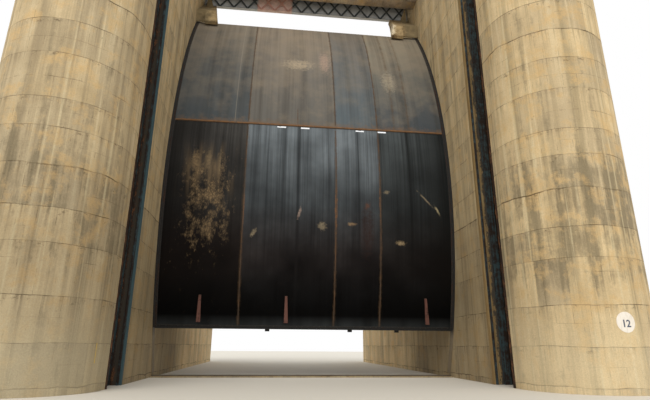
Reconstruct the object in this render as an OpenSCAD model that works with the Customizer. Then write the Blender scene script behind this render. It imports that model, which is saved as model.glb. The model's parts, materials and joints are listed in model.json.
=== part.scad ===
// Radial gate of a spillway bay: the curved leaf hangs part open between its two piers.
// X runs across the bay, Y downstream and Z up, in millimetres.
// The origin is on the ground, in the middle of the whole footprint.

/* [Bay and piers] */
// Clear width of the waterway between the piers
bay_w = 16000; // [13000:500:19000]
// Thickness of a pier, which is also the width of its round nose
pier_t = 5500; // [4500:250:6500]
// Height of the pier's upstream part, which carries the bridge
pier_top = 26500; // [25500:100:27500]
// Height of the pier's lower downstream part
tail_top = 17000; // [14500:250:19000]
// Level length of the high part downstream of the lattice girder
head_run = 2000; // [1200:100:3000]
// Length over which the pier top slopes down to its lower part
slope_run = 5000; // [3000:250:7000]

/* [Stop-log grooves] */
// Distance from the start of the straight pier to the groove
groove_offset = 570; // [300:10:1200]
// Width of the groove along the pier
groove_w = 1760; // [1400:20:2000]
// Depth of the groove into the pier
groove_d = 1000; // [700:50:1300]
// Leg on the pier's face of the steel that lines the groove's side
edge_leg = 160; // [120:10:260]
// Thickness of the lining steel
edge_t = 20; // [12:1:30]
// Depth of the track rail, out from the groove's side
track_depth = 190; // [140:10:240]
// Width of the track rail's head
track_head = 300; // [200:10:340]
// Thickness of the rail's head, web and foot
track_t = 40; // [25:5:50]
// Distance from the pier's face to the middle of the track rail
track_in = 570; // [480:10:650]
// Width of the narrow guide rail near the pier's face
guide_w = 100; // [60:5:140]
// Depth of the guide rail, out from the groove's side
guide_depth = 80; // [50:5:110]
// Distance from the pier's face to the middle of the guide rail
guide_in = 110; // [90:5:200]

/* [Trunnion axis] */
// Distance from the pier's downstream end to the trunnion axis
trunnion_back = 4580; // [4300:20:5000]
// Height of the trunnion axis
trunnion_z = 9950; // [9600:50:10300]
// Distance from the pier's face to the middle of the trunnion hub
hub_in = 1100; // [1000:50:1400]
// Radius of the trunnion pin
pin_r = 280; // [200:10:340]
// Outer radius of the trunnion hub
hub_r = 620; // [520:10:700]
// Length of the trunnion hub along the pin
hub_len = 900; // [700:20:1000]
// Radial clearance between the hub's bush and the pin
bush_gap = 0.05; // [0.02:0.01:0.09]
// Thickness of one ear of the trunnion bracket
ear_t = 200; // [120:10:240]
// Side clearance between the hub and an ear
ear_gap = 10; // [6:1:20]
// Distance from the trunnion axis to the face of the beam that carries the bracket
beam_gap = 1300; // [1200:20:1500]
// Depth of the trunnion beam along the water's way
beam_depth = 2300; // [2000:50:2800]
// Length that the trunnion beam stands out of the pier
beam_len = 2200; // [2150:10:2500]
// Height of the trunnion beam below the axis
beam_low = 2400; // [2000:50:2800]
// Height of the trunnion beam above the axis
beam_high = 1500; // [1350:50:1800]

/* [Leaf] */
// Radius of the skin plate's upstream face about the trunnion
gate_r = 22980; // [22600:20:23200]
// Thickness of the skin plate
skin_t = 40; // [30:5:60]
// Angle of the lip below the level of the trunnion, as the leaf hangs
lip_a = 19; // [17:0.5:21]
// Angle of the joint between the two tiers of skin plate
seam_a = 9.55; // [7:0.05:12]
// Angle of the leaf's top edge
top_a = 36; // [34:0.5:37]
// Distance from the groove to the leaf's upstream face, at the level of the trunnion
groove_gap = 3260; // [2800:20:4000]
// Gap between the skin plate's side and the seal plate on the pier
side_gap = 50; // [35:5:80]
// Depth of a vertical rib behind the skin plate
rib_d = 300; // [220:10:400]
// Distance between neighbouring ribs
rib_pitch = 950; // [800:25:1200]
// Thickness of a rib's web and flange
rib_t = 25; // [16:1:36]
// Width of a rib's flange
rib_flange = 160; // [120:10:220]
// Gap between the ends of the ribs and the edges of the skin, in degrees
rib_end_a = 0.5; // [0.3:0.1:0.8]
// Height of the angle steel that covers the joint between the tiers
ledge_h = 90; // [60:5:140]
// Depth of that steel, out from the skin
ledge_d = 55; // [40:5:80]

/* [Girders and arms] */
// Depth of a horizontal girder
girder_d = 1400; // [1000:50:1700]
// Width of a girder's flanges
girder_flange = 600; // [450:10:700]
// Thickness of a girder's flanges
girder_ft = 40; // [30:2:60]
// Thickness of a girder's web
girder_wt = 30; // [20:2:40]
// Distance from the seal plate to the end of a girder
girder_end = 330; // [250:10:500]
// Angle of the bottom girder and arms, from the level of the trunnion
bottom_a = -10.5; // [-12:0.5:-9]
// Angle of the middle girder and arms
middle_a = 7; // [5:0.5:9]
// Angle of the top girder and arms
top_arm_a = 26; // [24:0.5:28]
// Angle in plan at which the arms run inwards from the hub
arm_skew = 5.9; // [3:0.1:7]
// Depth of an arm
arm_d = 700; // [500:20:760]
// Width of an arm
arm_w = 460; // [360:10:520]
// Thickness of an arm's plates
arm_t = 32; // [20:2:40]
// Radius at which the arms leave the hub's fan plates
fan_r = 2700; // [2500:50:3200]
// Width of the struts between the arms
brace_w = 220; // [160:10:260]
// Width of the diagonals between the arms and between the girders
diagonal_w = 150; // [100:10:180]
// Distance between the feet of two neighbouring diagonals on the girders
diagonal_pitch = 2350; // [2000:50:2700]

/* [Seals and fittings] */
// Angle that the seal plates on the piers reach above the trunnion
seal_top_a = 41; // [39:0.5:41.5]
// Thickness of a seal plate
seal_plate_t = 20; // [12:2:30]
// Width of a seal plate along the radius
seal_plate_w = 420; // [360:20:600]
// Reach of a seal plate upstream of the skin
seal_plate_out = 85; // [75:5:150]
// Running gap between the side seal and its plate
seal_gap = 8; // [6:1:15]
// Height of the concrete sill above the ground
sill_h = 60; // [40:10:200]
// Thickness of the steel plate on the sill
sill_plate_t = 40; // [20:5:60]
// Distance from the line of the closed skin to the downstream edge of the sill
sill_back = 200; // [150:10:240]
// Length of the lugs below the lip
lug_drop = 260; // [180:10:280]
// Height of the bar seal below the skin plate
lip_seal_h = 60; // [40:5:90]

/* [Bridge] */
// Depth of a bridge girder
bridge_d = 1500; // [1300:50:1700]
// Width of a bridge girder's bottom flange
bridge_flange = 900; // [700:50:1000]
// Distance between the two bridge girders
bridge_pitch = 2200; // [1900:50:2600]
// Height of the bearing pedestals on the pier tops
pedestal_h = 500; // [400:20:700]
// Thickness of the bridge deck
deck_t = 300; // [200:20:400]
// Length that a bridge girder reaches over the pier
girder_rest = 1400; // [1200:50:1600]
// Length that the deck stands out past the front girder's middle
deck_out = 1500; // [1200:50:1800]
// Length of a bearing pedestal along the pier's width
pedestal_len = 900; // [700:50:1000]
// Gap from the bridge girder to the lattice girder
lattice_gap = 800; // [600:20:1000]
// Width of the lattice girder
lattice_w = 260; // [220:10:400]
// Height of the lattice girder
lattice_h = 1400; // [1200:20:1500]
// Width of one lattice diamond
diamond_w = 1030; // [900:10:1200]
// Side of the square chord bars
chord_s = 100; // [80:5:130]
// Width of a lattice bar
lattice_bar_w = 130; // [60:10:160]
// Thickness of the plates that close the bottom and the back of the lattice girder
lattice_plate_t = 12; // [8:1:20]
// Length that the left corbel stands out of its pier
left_corbel = 1550; // [1200:50:1700]
// Length that the right corbel stands out of its pier
right_corbel = 2100; // [1600:50:2300]
// Height of a corbel, from its tip to the top of the pier
corbel_h = 3500; // [3200:50:3600]
// Length of the corbel's lower block, at the end away from the pier
corbel_block = 900; // [700:50:1000]
// Gap between the leaf's swept circle and the corbels
sweep_gap = 130; // [110:10:200]
// Gap between the leaf's swept circle and the lattice girder
lattice_clear = 300; // [200:10:400]

/* [Hidden] */
$fn = 96;
arc_fn = 720;
eps = 1;

stop_out = 960;
stop_gap = 340;
stop_h = 1000;
stop_top = 600;
stop_t = 250;
corbel_depth = 1000;
corbel_step = 300;
corbel_cut = 620;
cheek_gap = 40;
cheek_out = 250;

bracket_w = 2100;
bracket_h = 2300;
bracket_t = 140;
ear_r = hub_r - 60;
ear_root = 1000;

weld_gap = 0.3;

nose_r = pier_t / 2;
pier_len = nose_r + groove_offset + groove_w + groove_gap + gate_r + trunnion_back;
face_x = bay_w / 2;
up_y = -pier_len / 2;
down_y = pier_len / 2;
spring_y = up_y + nose_r;
groove_y = spring_y + groove_offset;
trunnion_y = down_y - trunnion_back;
hub_x = face_x - hub_in;
rib_in_r = gate_r - skin_t - rib_d;
girder_out_r = sqrt(pow(rib_in_r, 2) - pow(girder_flange / 2, 2));
girder_in_r = girder_out_r - girder_d;
leaf_x = face_x - seal_plate_t - side_gap;
girder_x = face_x - seal_plate_t - girder_end;
sill_top = sill_h + sill_plate_t;
sill_y = trunnion_y - sqrt(pow(gate_r, 2) - pow(trunnion_z - sill_top, 2));
seal_low_a = asin((trunnion_z - sill_top) / (gate_r + seal_plate_out));
lattice_y = trunnion_y - sqrt(pow(gate_r + lattice_clear, 2) - pow(pier_top - trunnion_z, 2));
stop_y = lattice_y - 4 * stop_t;
head_y = lattice_y + head_run;
bridge_y = lattice_y - lattice_w - lattice_gap - bridge_flange / 2;
bridge_z = pier_top + pedestal_h;
deck_z = bridge_z + bridge_d;
lip_plate_a = 40 / gate_r * 180 / PI;
weld_gap_a = weld_gap / gate_r * 180 / PI;
brace_r = [9500, 15500];
roller_r = 160;
seam_x = [-leaf_x, -3700, 1350, 3850, leaf_x];
slit_w = 500;
slit_h = 120;
slit_x = [-1785, -425, 2795, 4120];
lip_bar_top_x = [-5690, -1225, 6360];
lip_bar_low_x = [-5735, -1195, 6520];
lip_bar_w = [120, 210];
lip_bar_a = [-14.75, -18.25];
lip_bar_t = 60;
lip_lug_x = [-2160, 2300, 4900];

// The right-hand piece as drawn, or its mirror image on the left
module side(s) {
    if (s > 0) children();
    else mirror([1, 0, 0]) children();
}

module both_sides() {
    for (s = [-1, 1]) side(s) children();
}

// A profile drawn in Y and Z, drawn out along X from x0 to x1
module along_x(x0, x1) {
    translate([x0, 0, 0]) rotate([90, 0, 90]) linear_extrude(x1 - x0) children();
}

// The frame of the trunnion axis, turned so that its local -Y points along the angle a
module at_angle(a) {
    translate([0, trunnion_y, trunnion_z]) rotate([-a, 0, 0]) children();
}

// A profile of radius and place across the bay, swept about the trunnion axis between two angles
module arc_sweep(a0, a1) {
    translate([0, trunnion_y, trunnion_z]) rotate([90, 0, 90]) rotate([0, 0, 180 - a1])
        rotate_extrude(angle = a1 - a0, $fn = arc_fn) children();
}

// A sweep down or up from the level of the axis
module arc_from_level(a) {
    translate([0, trunnion_y, trunnion_z]) rotate([90, 0, 90]) rotate([0, 0, 180])
        mirror([0, a > 0 ? 1 : 0, 0]) rotate_extrude(angle = abs(a), $fn = arc_fn) children();
}

// The sweep in two pieces that meet at the level of the axis, where it passes it
module arc_body(a0, a1) {
    if (a0 < 0 && a1 > 0) union() {
        arc_from_level(a0) children();
        arc_from_level(a1) children();
    }
    else arc_sweep(a0, a1) children();
}

// A ring segment about the trunnion axis, from x0 to x1 across the bay
module arc_band(r_in, r_out, a0, a1, x0, x1) {
    arc_body(a0, a1) translate([r_in, x0]) square([r_out - r_in, x1 - x0]);
}

// Piers

module pier_nose(s) {
    color("#b3a287") side(s) translate([face_x + nose_r, spring_y, 0]) linear_extrude(pier_top) union() {
        intersection() {
            circle(nose_r, $fn = 180);
            translate([-nose_r, -nose_r]) square([pier_t, nose_r]);
        }
        translate([-nose_r, 0]) square([pier_t, groove_offset]);
    }
}

module pier_body(s) {
    color("#b3a287") side(s) linear_extrude(pier_top) polygon([
        [face_x + groove_d, groove_y],
        [face_x + pier_t, groove_y],
        [face_x + pier_t, head_y],
        [face_x, head_y],
        [face_x, groove_y + groove_w],
        [face_x + groove_d, groove_y + groove_w]
    ]);
}

module pier_tail(s) {
    color("#b3a287") side(s) along_x(face_x, face_x + pier_t) polygon([
        [head_y, 0],
        [down_y, 0],
        [down_y, tail_top],
        [head_y + slope_run, tail_top],
        [head_y, pier_top]
    ]);
}

// Sill

module sill_beam() {
    color("#9c9383") translate([-face_x, sill_y - 600, 0]) cube([bay_w, 600 + sill_back, sill_h]);
}

module sill_plate() {
    color("#4d4a46") translate([-face_x, sill_y - sill_back, sill_h])
        cube([bay_w, 2 * sill_back, sill_plate_t]);
}

// Stop-log groove steel

// A profile in the plane of the groove, on each of its two sides and in both piers
module groove_sides(x) {
    both_sides() for (m = [0, 1]) translate([face_x + x, groove_y + groove_w / 2, 0]) mirror([0, m, 0])
        linear_extrude(pier_top) children();
}

module groove_edge_angles() {
    side_y = groove_w / 2;
    color("#6b4a33") groove_sides(0) polygon([
        [-edge_t, side_y - edge_t], [groove_d, side_y - edge_t], [groove_d, side_y],
        [0, side_y], [0, side_y + edge_leg], [-edge_t, side_y + edge_leg]
    ]);
}

module groove_track_rails() {
    foot_y = groove_w / 2 - edge_t;
    head_y = groove_w / 2 - track_depth;
    color("#3c4a4f") groove_sides(track_in) union() {
        translate([-track_t / 2, head_y]) square([track_t, foot_y - head_y]);
        translate([-track_head / 2, head_y]) square([track_head, track_t]);
        translate([-track_head / 2, foot_y - track_t]) square([track_head, track_t]);
    }
    color("#3c4a4f") groove_sides(guide_in) translate([-guide_w / 2, groove_w / 2 - guide_depth])
        square([guide_w, guide_depth - edge_t]);
}

module seal_plate(s) {
    color("#5a4a3c") side(s)
        arc_band(gate_r + seal_plate_out - seal_plate_w, gate_r + seal_plate_out, -seal_low_a, seal_top_a,
            face_x - seal_plate_t, face_x);
}

// Trunnion

module trunnion_beam(s) {
    beam_y = trunnion_y + beam_gap;
    color("#a89a82") side(s) along_x(face_x - beam_len, face_x) polygon([
        [beam_y, trunnion_z - beam_gap],
        [beam_y + beam_depth / 4, trunnion_z - beam_low],
        [beam_y + beam_depth, trunnion_z - beam_low],
        [beam_y + beam_depth, trunnion_z + beam_high * 0.6],
        [beam_y + beam_depth * 0.65, trunnion_z + beam_high],
        [beam_y, trunnion_z + beam_gap]
    ]);
}

module trunnion_bracket(s) {
    plate_y = beam_gap - bracket_t;
    color("#4f5254") side(s) translate([hub_x, trunnion_y, trunnion_z]) union() {
        translate([-bracket_w / 2, plate_y, -bracket_h / 2]) cube([bracket_w, bracket_t, bracket_h]);
        for (m = [0, 1]) mirror([m, 0, 0])
            translate([hub_len / 2 + ear_gap, 0, 0]) along_x(0, ear_t) difference() {
                union() {
                    circle(ear_r);
                    polygon([
                        [0, -ear_r], [plate_y, -ear_root], [plate_y, ear_root], [0, ear_r]
                    ]);
                }
                circle(pin_r);
            }
    }
}

module trunnion_pins() {
    pin_len = hub_len + 2 * (ear_gap + ear_t) + 60;
    color("#7d7f80") both_sides() translate([hub_x - pin_len / 2, trunnion_y, trunnion_z])
        rotate([0, 90, 0]) cylinder(r = pin_r, h = pin_len);
}

// The hub turns on the pin and spreads into two fan plates, with a flat seat for each arm
module hub(s) {
    seat = arm_d / 2 + 30;
    color("#3f4142") side(s) translate([hub_x, trunnion_y, trunnion_z]) difference() {
        union() {
            rotate([0, 90, 0]) cylinder(r = hub_r, h = hub_len, center = true);
            rotate([0, 0, -arm_skew]) {
                for (m = [0, 1]) mirror([m, 0, 0]) along_x(arm_w / 2 - arm_t, arm_w / 2) polygon([
                    [0, 0],
                    for (a = [bottom_a, middle_a, top_arm_a], t = [-1, 1])
                        (fan_r - 30) * [-cos(a), sin(a)] + t * seat * [sin(a), cos(a)]
                ]);
                for (a = [bottom_a, middle_a, top_arm_a]) rotate([-a, 0, 0]) {
                    translate([-arm_w / 2 - 60, -fan_r, -seat]) cube([arm_w + 120, 60, 2 * seat]);
                    translate([-(arm_w - arm_t) / 2, -fan_r + eps, -arm_t / 2])
                        cube([arm_w - arm_t, fan_r - (hub_r + pin_r) / 2, arm_t]);
                }
            }
        }
        rotate([0, 90, 0]) cylinder(r = pin_r + bush_gap, h = hub_len + 400, center = true);
    }
}

// Bridge

module bridge_girders() {
    color("#7a5f44") for (k = [0, 1]) translate([0, bridge_y - k * bridge_pitch, bridge_z])
        along_x(-face_x - girder_rest, face_x + girder_rest) polygon([
            [-bridge_flange / 2, 0], [bridge_flange / 2, 0], [bridge_flange / 2, 250],
            [150, 450], [150, bridge_d - 300], [bridge_flange / 2, bridge_d - 150],
            [bridge_flange / 2, bridge_d], [-bridge_flange / 2, bridge_d],
            [-bridge_flange / 2, bridge_d - 150], [-150, bridge_d - 300], [-150, 450],
            [-bridge_flange / 2, 250]
        ]);
}

// The deck slab with a kerb along each edge
module bridge_deck() {
    kerb = 250;
    deck_y = [bridge_y - bridge_pitch - deck_out, lattice_y + lattice_w / 2];
    color("#8c7f6b") along_x(-face_x - nose_r, face_x + nose_r) polygon([
        [deck_y[0], deck_z], [deck_y[1], deck_z],
        [deck_y[1], deck_z + deck_t + kerb], [deck_y[1] - kerb, deck_z + deck_t + kerb],
        [deck_y[1] - kerb, deck_z + deck_t], [deck_y[0] + kerb, deck_z + deck_t],
        [deck_y[0] + kerb, deck_z + deck_t + kerb], [deck_y[0], deck_z + deck_t + kerb]
    ]);
}

// Bearing pedestals under the bridge girders, and a cheek block at each end of the lattice girder
module girder_pedestals() {
    color("#9c9383") both_sides() {
        for (k = [0, 1])
            translate([face_x + 250, bridge_y - k * bridge_pitch - bridge_flange / 2, pier_top])
                cube([pedestal_len, bridge_flange, pedestal_h]);
        translate([face_x - cheek_gap, lattice_y - lattice_w - cheek_out, pier_top])
            cube([pedestal_len, lattice_w + cheek_out, lattice_h]);
    }
}

// A point on the circle that the leaf sweeps with its gap, at the height z
function swept(z) = [trunnion_y - sqrt(pow(gate_r + sweep_gap, 2) - pow(z - trunnion_z, 2)), z];

// The corbel's side: its underside keeps clear of the leaf, its top slopes up to the lattice girder
module corbel_side(low, out) {
    tip = swept(low);
    polygon([
        for (k = [0:4]) swept(low + (pier_top - low) * k / 4),
        [lattice_y - lattice_w, pier_top], [tip[0] - out, low + corbel_depth], [tip[0] - out, low + out]
    ]);
}

// A haunch beside the pier, a lower block with a sloping end, and a pointed stop beside the lattice
module lattice_corbels() {
    low = pier_top - corbel_h;
    color("#b3a287") for (s = [-1, 1]) side(s) {
        inner = face_x - (s < 0 ? left_corbel : right_corbel);
        union() {
            intersection() {
                union() {
                    along_x(inner + corbel_block - eps, face_x) corbel_side(low + corbel_step, 60);
                    along_x(inner, inner + corbel_block) corbel_side(low, 150);
                }
                translate([0, lattice_y + 1000, 0]) rotate([90, 0, 0]) linear_extrude(corbel_h + 2000) polygon([
                    [inner, low], [face_x + eps, low], [face_x + eps, pier_top + 1], [inner + corbel_cut, pier_top + 1]
                ]);
            }
            translate([face_x, stop_y + stop_t, pier_top]) rotate([90, 0, 0]) linear_extrude(stop_t) polygon([
                [-stop_out, -stop_h], [-stop_gap, -stop_h], [-stop_gap - 40, stop_top], [-stop_gap - 100, stop_top]
            ]);
        }
    }
}

lattice_x = face_x - 60;
module lattice_chords() {
    end_x = lattice_x - chord_s / 2;
    color("#2b3033") translate([0, lattice_y - lattice_w, pier_top]) union() {
        for (y = [0, lattice_w - chord_s], z = [0, lattice_h - chord_s])
            translate([-lattice_x, y, z]) cube([2 * lattice_x, chord_s, chord_s]);
        translate([-lattice_x, 0, 0]) cube([2 * lattice_x, lattice_w, lattice_plate_t]);
        for (i = [-1, 1], z = [0, lattice_h - chord_s])
            translate([i * end_x - chord_s / 2, 0, z]) cube([chord_s, lattice_w, chord_s]);
        for (i = [-1, 1], y = [0, lattice_w - chord_s])
            translate([i * end_x - chord_s / 2, y, 0]) cube([chord_s, chord_s, lattice_h]);
    }
}

// A lattice of crossing bars on the front of the chords and a stiffened plate behind, between them
module lattice_webs() {
    web_h = lattice_h - 2 * chord_s;
    bay_len = 2 * (lattice_x - chord_s);
    count = round(bay_len / diamond_w);
    step = bay_len / count;
    lean = atan(step / lattice_h);
    bar_len = 2 * sqrt(pow(lattice_h, 2) + pow(step, 2));
    bar_t = 30;
    color("#23282b") translate([0, lattice_y - lattice_w, pier_top]) {
        intersection() {
            translate([-bay_len / 2, -bar_t - eps, 0]) cube([bay_len, bar_t + 2 * eps, lattice_h]);
            union() for (i = [0:count - 1], m = [-1, 1])
                translate([-bay_len / 2 + (i + 0.5) * step, -bar_t, lattice_h / 2]) rotate([0, m * lean, 0])
                    translate([-lattice_bar_w / 2, 0, -bar_len / 2]) cube([lattice_bar_w, bar_t, bar_len]);
        }
        translate([-bay_len / 2, lattice_w - chord_s / 2, chord_s]) union() {
            cube([bay_len, lattice_plate_t, web_h]);
            for (i = [1:count - 1])
                translate([i * step - lattice_plate_t / 2, -60, 0]) cube([lattice_plate_t, 60 + eps, web_h]);
        }
    }
}

// Leaf

module skin_panel(tier, i) {
    a0 = tier == 0 ? -lip_a : seam_a + weld_gap_a;
    a1 = tier == 0 ? seam_a : top_a;
    color(tier == 0 ? "#1d1f21" : "#5a5349") difference() {
        arc_band(gate_r - skin_t, gate_r, a0, a1, seam_x[i], seam_x[i + 1]);
        if (tier == 0) for (x = slit_x)
            at_angle(seam_a) translate([x - slit_w / 2, -gate_r - 100, -slit_h])
                cube([slit_w, 400, 2 * slit_h]);
    }
}

module seam_ledge() {
    color("#6e4c34") at_angle(seam_a) translate([-leaf_x + 150, -gate_r - ledge_d, 20])
        cube([2 * leaf_x - 300, ledge_d, ledge_h]);
}

module bottom_seal() {
    drop_a = lip_seal_h / gate_r * 180 / PI;
    color("#26211d")
        arc_band(gate_r - 110, gate_r - 10, -lip_a - drop_a, -lip_a - weld_gap_a, -leaf_x, leaf_x);
}

module side_seals() {
    edge = face_x - seal_plate_t - seal_gap;
    color("#1b1b1b") both_sides() arc_body(-lip_a, top_a) polygon([
        [gate_r, leaf_x - 120], [gate_r + 25, leaf_x - 120], [gate_r + 25, edge - 45],
        [gate_r + 60, edge - 45], [gate_r + 60, edge], [gate_r, edge]
    ]);
}

// Curved T-section ribs behind one tier of the skin
module ribs(a0, a1) {
    half = floor((leaf_x - rib_flange) / rib_pitch);
    color("#4a4038") for (i = [-half:half]) arc_body(a0, a1) translate([rib_in_r, i * rib_pitch]) polygon([
        [0, -rib_flange / 2], [rib_t, -rib_flange / 2], [rib_t, -rib_t / 2], [rib_d - weld_gap, -rib_t / 2],
        [rib_d - weld_gap, rib_t / 2], [rib_t, rib_t / 2], [rib_t, rib_flange / 2], [0, rib_flange / 2]
    ]);
}

// The plate that closes the lower ends of the ribs
module lip_plate() {
    color("#3f3a34") arc_band(rib_in_r, gate_r - skin_t - weld_gap,
        -lip_a, -lip_a + lip_plate_a - weld_gap_a, -leaf_x, leaf_x);
}

module girder(a) {
    stiff_pitch = 2 * girder_x / 16;
    color("#3f3a34") at_angle(a) union() {
        for (y = [-girder_out_r, -girder_in_r - girder_ft])
            translate([-girder_x, y, -girder_flange / 2]) cube([2 * girder_x, girder_ft, girder_flange]);
        translate([-girder_x, -girder_out_r, -girder_wt / 2]) cube([2 * girder_x, girder_d, girder_wt]);
        for (i = [0:16])
            translate([-girder_x + i * stiff_pitch - (i == 0 ? 0 : i == 16 ? rib_t : rib_t / 2),
                -girder_out_r, -girder_flange / 2 + 20]) cube([rib_t, girder_d, girder_flange - 40]);
    }
}

// Everything nearer the trunnion than the back of a girder
module inside_girder(a) {
    reach = girder_in_r * tan(arm_skew) + 2 * arm_w;
    rotate([-a, 0, 0]) translate([-reach, -girder_in_r, -reach]) cube([2 * reach, girder_in_r, 2 * reach]);
}

// An arm is an H section with stiffeners where the struts meet it
module arm_pair(a) {
    arm_len = girder_in_r + 400 - fan_r;
    color("#45403a") both_sides() translate([hub_x, trunnion_y, trunnion_z]) intersection() {
        rotate([0, 0, -arm_skew]) rotate([-a, 0, 0]) union() {
            for (z = [-arm_d / 2, arm_d / 2 - arm_t])
                translate([-arm_w / 2, -fan_r - arm_len, z]) cube([arm_w, arm_len, arm_t]);
            translate([-arm_t / 2, -fan_r - arm_len, -arm_d / 2]) cube([arm_t, arm_len, arm_d]);
            for (r = brace_r, y = [-brace_w / 2, brace_w / 2])
                translate([-arm_w / 2 + arm_t, y - r, -arm_d / 2])
                    cube([arm_w - 2 * arm_t, arm_t / 2, arm_d]);
        }
        inside_girder(a);
    }
}

// A straight bar of square section between two points given by radius and angle
module bar_between(from, to, w) {
    p = from[0] * [-cos(from[1]), sin(from[1])];
    q = to[0] * [-cos(to[1]), sin(to[1])];
    d = q - p;
    translate([0, p[0], p[1]]) rotate([atan2(d[1], d[0]), 0, 0]) translate([-w / 2, 0, -w / 2])
        cube([w, norm(d), w]);
}

// Struts and diagonals between neighbouring arms, cut to the faces of the arms' flanges
module arm_bracing() {
    cut_d = arm_d + 2 * weld_gap;
    color("#45403a") both_sides() translate([hub_x, trunnion_y, trunnion_z]) rotate([0, 0, -arm_skew])
        for (pair = [[bottom_a, middle_a], [middle_a, top_arm_a]]) difference() {
            union() {
                for (r = brace_r) bar_between([r, pair[0]], [r, pair[1]], brace_w);
                bar_between([brace_r[0], pair[1]], [brace_r[1], pair[0]], diagonal_w);
            }
            for (a = pair) rotate([-a, 0, 0]) translate([-brace_w, -girder_in_r, -cut_d / 2])
                cube([2 * brace_w, girder_in_r, cut_d]);
        }
}

// Diagonals between the back flanges of neighbouring girders, cut to the girders' faces
module girder_bracing() {
    half = floor(girder_x / diagonal_pitch);
    cut_h = girder_flange + 2 * weld_gap;
    brace_in_r = girder_in_r + girder_ft * 1.75;
    color("#45403a") for (pair = [[bottom_a, middle_a], [middle_a, top_arm_a]]) {
        span = pair[1] - pair[0];
        rise = 2 * brace_in_r * sin(span / 2);
        lean = atan(diagonal_pitch / rise);
        bar_len = rise / cos(lean);
        difference() {
            at_angle((pair[0] + pair[1]) / 2) for (i = [-half:half - 1])
                translate([(i + 0.5) * diagonal_pitch, -brace_in_r * cos(span / 2) - diagonal_w, 0])
                    rotate([0, (i % 2 == 0 ? 1 : -1) * lean, 0])
                        translate([-diagonal_w / 2, 0, -bar_len / 2]) cube([diagonal_w, diagonal_w, bar_len]);
            for (m = [0, 1]) at_angle(pair[m]) translate([-face_x, -gate_r, m == 0 ? -gate_r : -cut_h / 2])
                cube([2 * face_x, gate_r, gate_r + cut_h / 2]);
        }
    }
}

// Guide rollers that run on the seal plates, each in a bracket on the outermost rib
module side_rollers() {
    roller_x = face_x - seal_plate_t - seal_gap - roller_r;
    rib_x = floor((leaf_x - rib_flange) / rib_pitch) * rib_pitch + rib_t / 2 + weld_gap;
    color("#55504a") both_sides() for (a = [-14, 30]) at_angle(a) translate([0, -gate_r + 170, 0]) union() {
        translate([roller_x, 0, 0]) rotate([90, 0, 0]) cylinder(r = roller_r, h = 140, center = true);
        translate([roller_x, 0, 0]) rotate([90, 0, 0]) cylinder(r = 40, h = 240, center = true);
        for (y = [-110, 85]) translate([rib_x, y, -120]) cube([roller_x + 60 - rib_x, 25, 240]);
    }
}

// Flat bars on the skin above the lip, wider at their lower end
module lip_bars() {
    half_h = gate_r * sin((lip_bar_a[0] - lip_bar_a[1]) / 2);
    color("#6b3f30") at_angle((lip_bar_a[0] + lip_bar_a[1]) / 2) translate([0, -gate_r - weld_gap, 0])
        rotate([90, 0, 0]) for (i = [0:2]) linear_extrude(lip_bar_t) polygon([
            [lip_bar_top_x[i] - lip_bar_w[0] / 2, half_h], [lip_bar_top_x[i] + lip_bar_w[0] / 2, half_h],
            [lip_bar_low_x[i] + lip_bar_w[1] / 2, -half_h], [lip_bar_low_x[i] - lip_bar_w[1] / 2, -half_h]
        ]);
}

module lip_lugs() {
    color("#1b1b1b") for (x = lip_lug_x)
        at_angle(-lip_a) translate([x - 120, -rib_in_r - 60, -lug_drop]) cube([240, 40, lug_drop - weld_gap]);
}

module hoist_lugs() {
    color("#3f3a34") both_sides() at_angle(bottom_a) translate([girder_x - 700, -girder_in_r, 0])
        for (x = [0, 300]) along_x(x, x + 60) difference() {
            union() {
                translate([0, -260]) square([420, 520]);
                translate([420, 0]) circle(260);
            }
            translate([420, 0]) circle(110);
        }
}

pier_nose(-1);  // left_pier_nose
pier_body(-1);  // left_pier_body
pier_tail(-1);  // left_pier_tail
pier_nose(1);  // right_pier_nose
pier_body(1);  // right_pier_body
pier_tail(1);  // right_pier_tail
sill_beam();
sill_plate();
groove_edge_angles();
groove_track_rails();
seal_plate(-1);  // left_seal_plate
seal_plate(1);  // right_seal_plate
trunnion_beam(-1);  // left_trunnion_beam
trunnion_beam(1);  // right_trunnion_beam
trunnion_bracket(-1);  // left_trunnion_bracket
trunnion_bracket(1);  // right_trunnion_bracket
trunnion_pins();
bridge_girders();
bridge_deck();
girder_pedestals();
lattice_corbels();
lattice_chords();
lattice_webs();
skin_panel(0, 0);  // skin_lower_1
skin_panel(0, 1);  // skin_lower_2
skin_panel(0, 2);  // skin_lower_3
skin_panel(0, 3);  // skin_lower_4
skin_panel(1, 0);  // skin_upper_1
skin_panel(1, 1);  // skin_upper_2
skin_panel(1, 2);  // skin_upper_3
skin_panel(1, 3);  // skin_upper_4
seam_ledge();
lip_plate();
bottom_seal();
side_seals();
ribs(-lip_a + lip_plate_a, seam_a - rib_end_a);  // lower_ribs
ribs(seam_a + rib_end_a, top_a - rib_end_a);  // upper_ribs
girder(bottom_a);  // bottom_girder
girder(middle_a);  // middle_girder
girder(top_arm_a);  // top_girder
arm_pair(bottom_a);  // bottom_arms
arm_pair(middle_a);  // middle_arms
arm_pair(top_arm_a);  // top_arms
arm_bracing();
girder_bracing();
hub(-1);  // left_hub
hub(1);  // right_hub
side_rollers();
lip_bars();
lip_lugs();
hoist_lugs();
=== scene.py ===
# %% [markdown]
# # A radial gate between its two piers
# A radial gate closes one bay of a spillway. A curved steel leaf turns about two
# trunnion pins on the downstream side, carried by arms. Here the leaf hangs part open
# between two concrete piers. The shapes come packed from the CAD file, and this script
# gives them concrete, steel, rust and rubber, and adds the small pieces that sit on them.

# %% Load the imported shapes
import json
import math
import random
from types import SimpleNamespace

import bmesh
import bpy
from mathutils import Matrix, Vector


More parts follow.
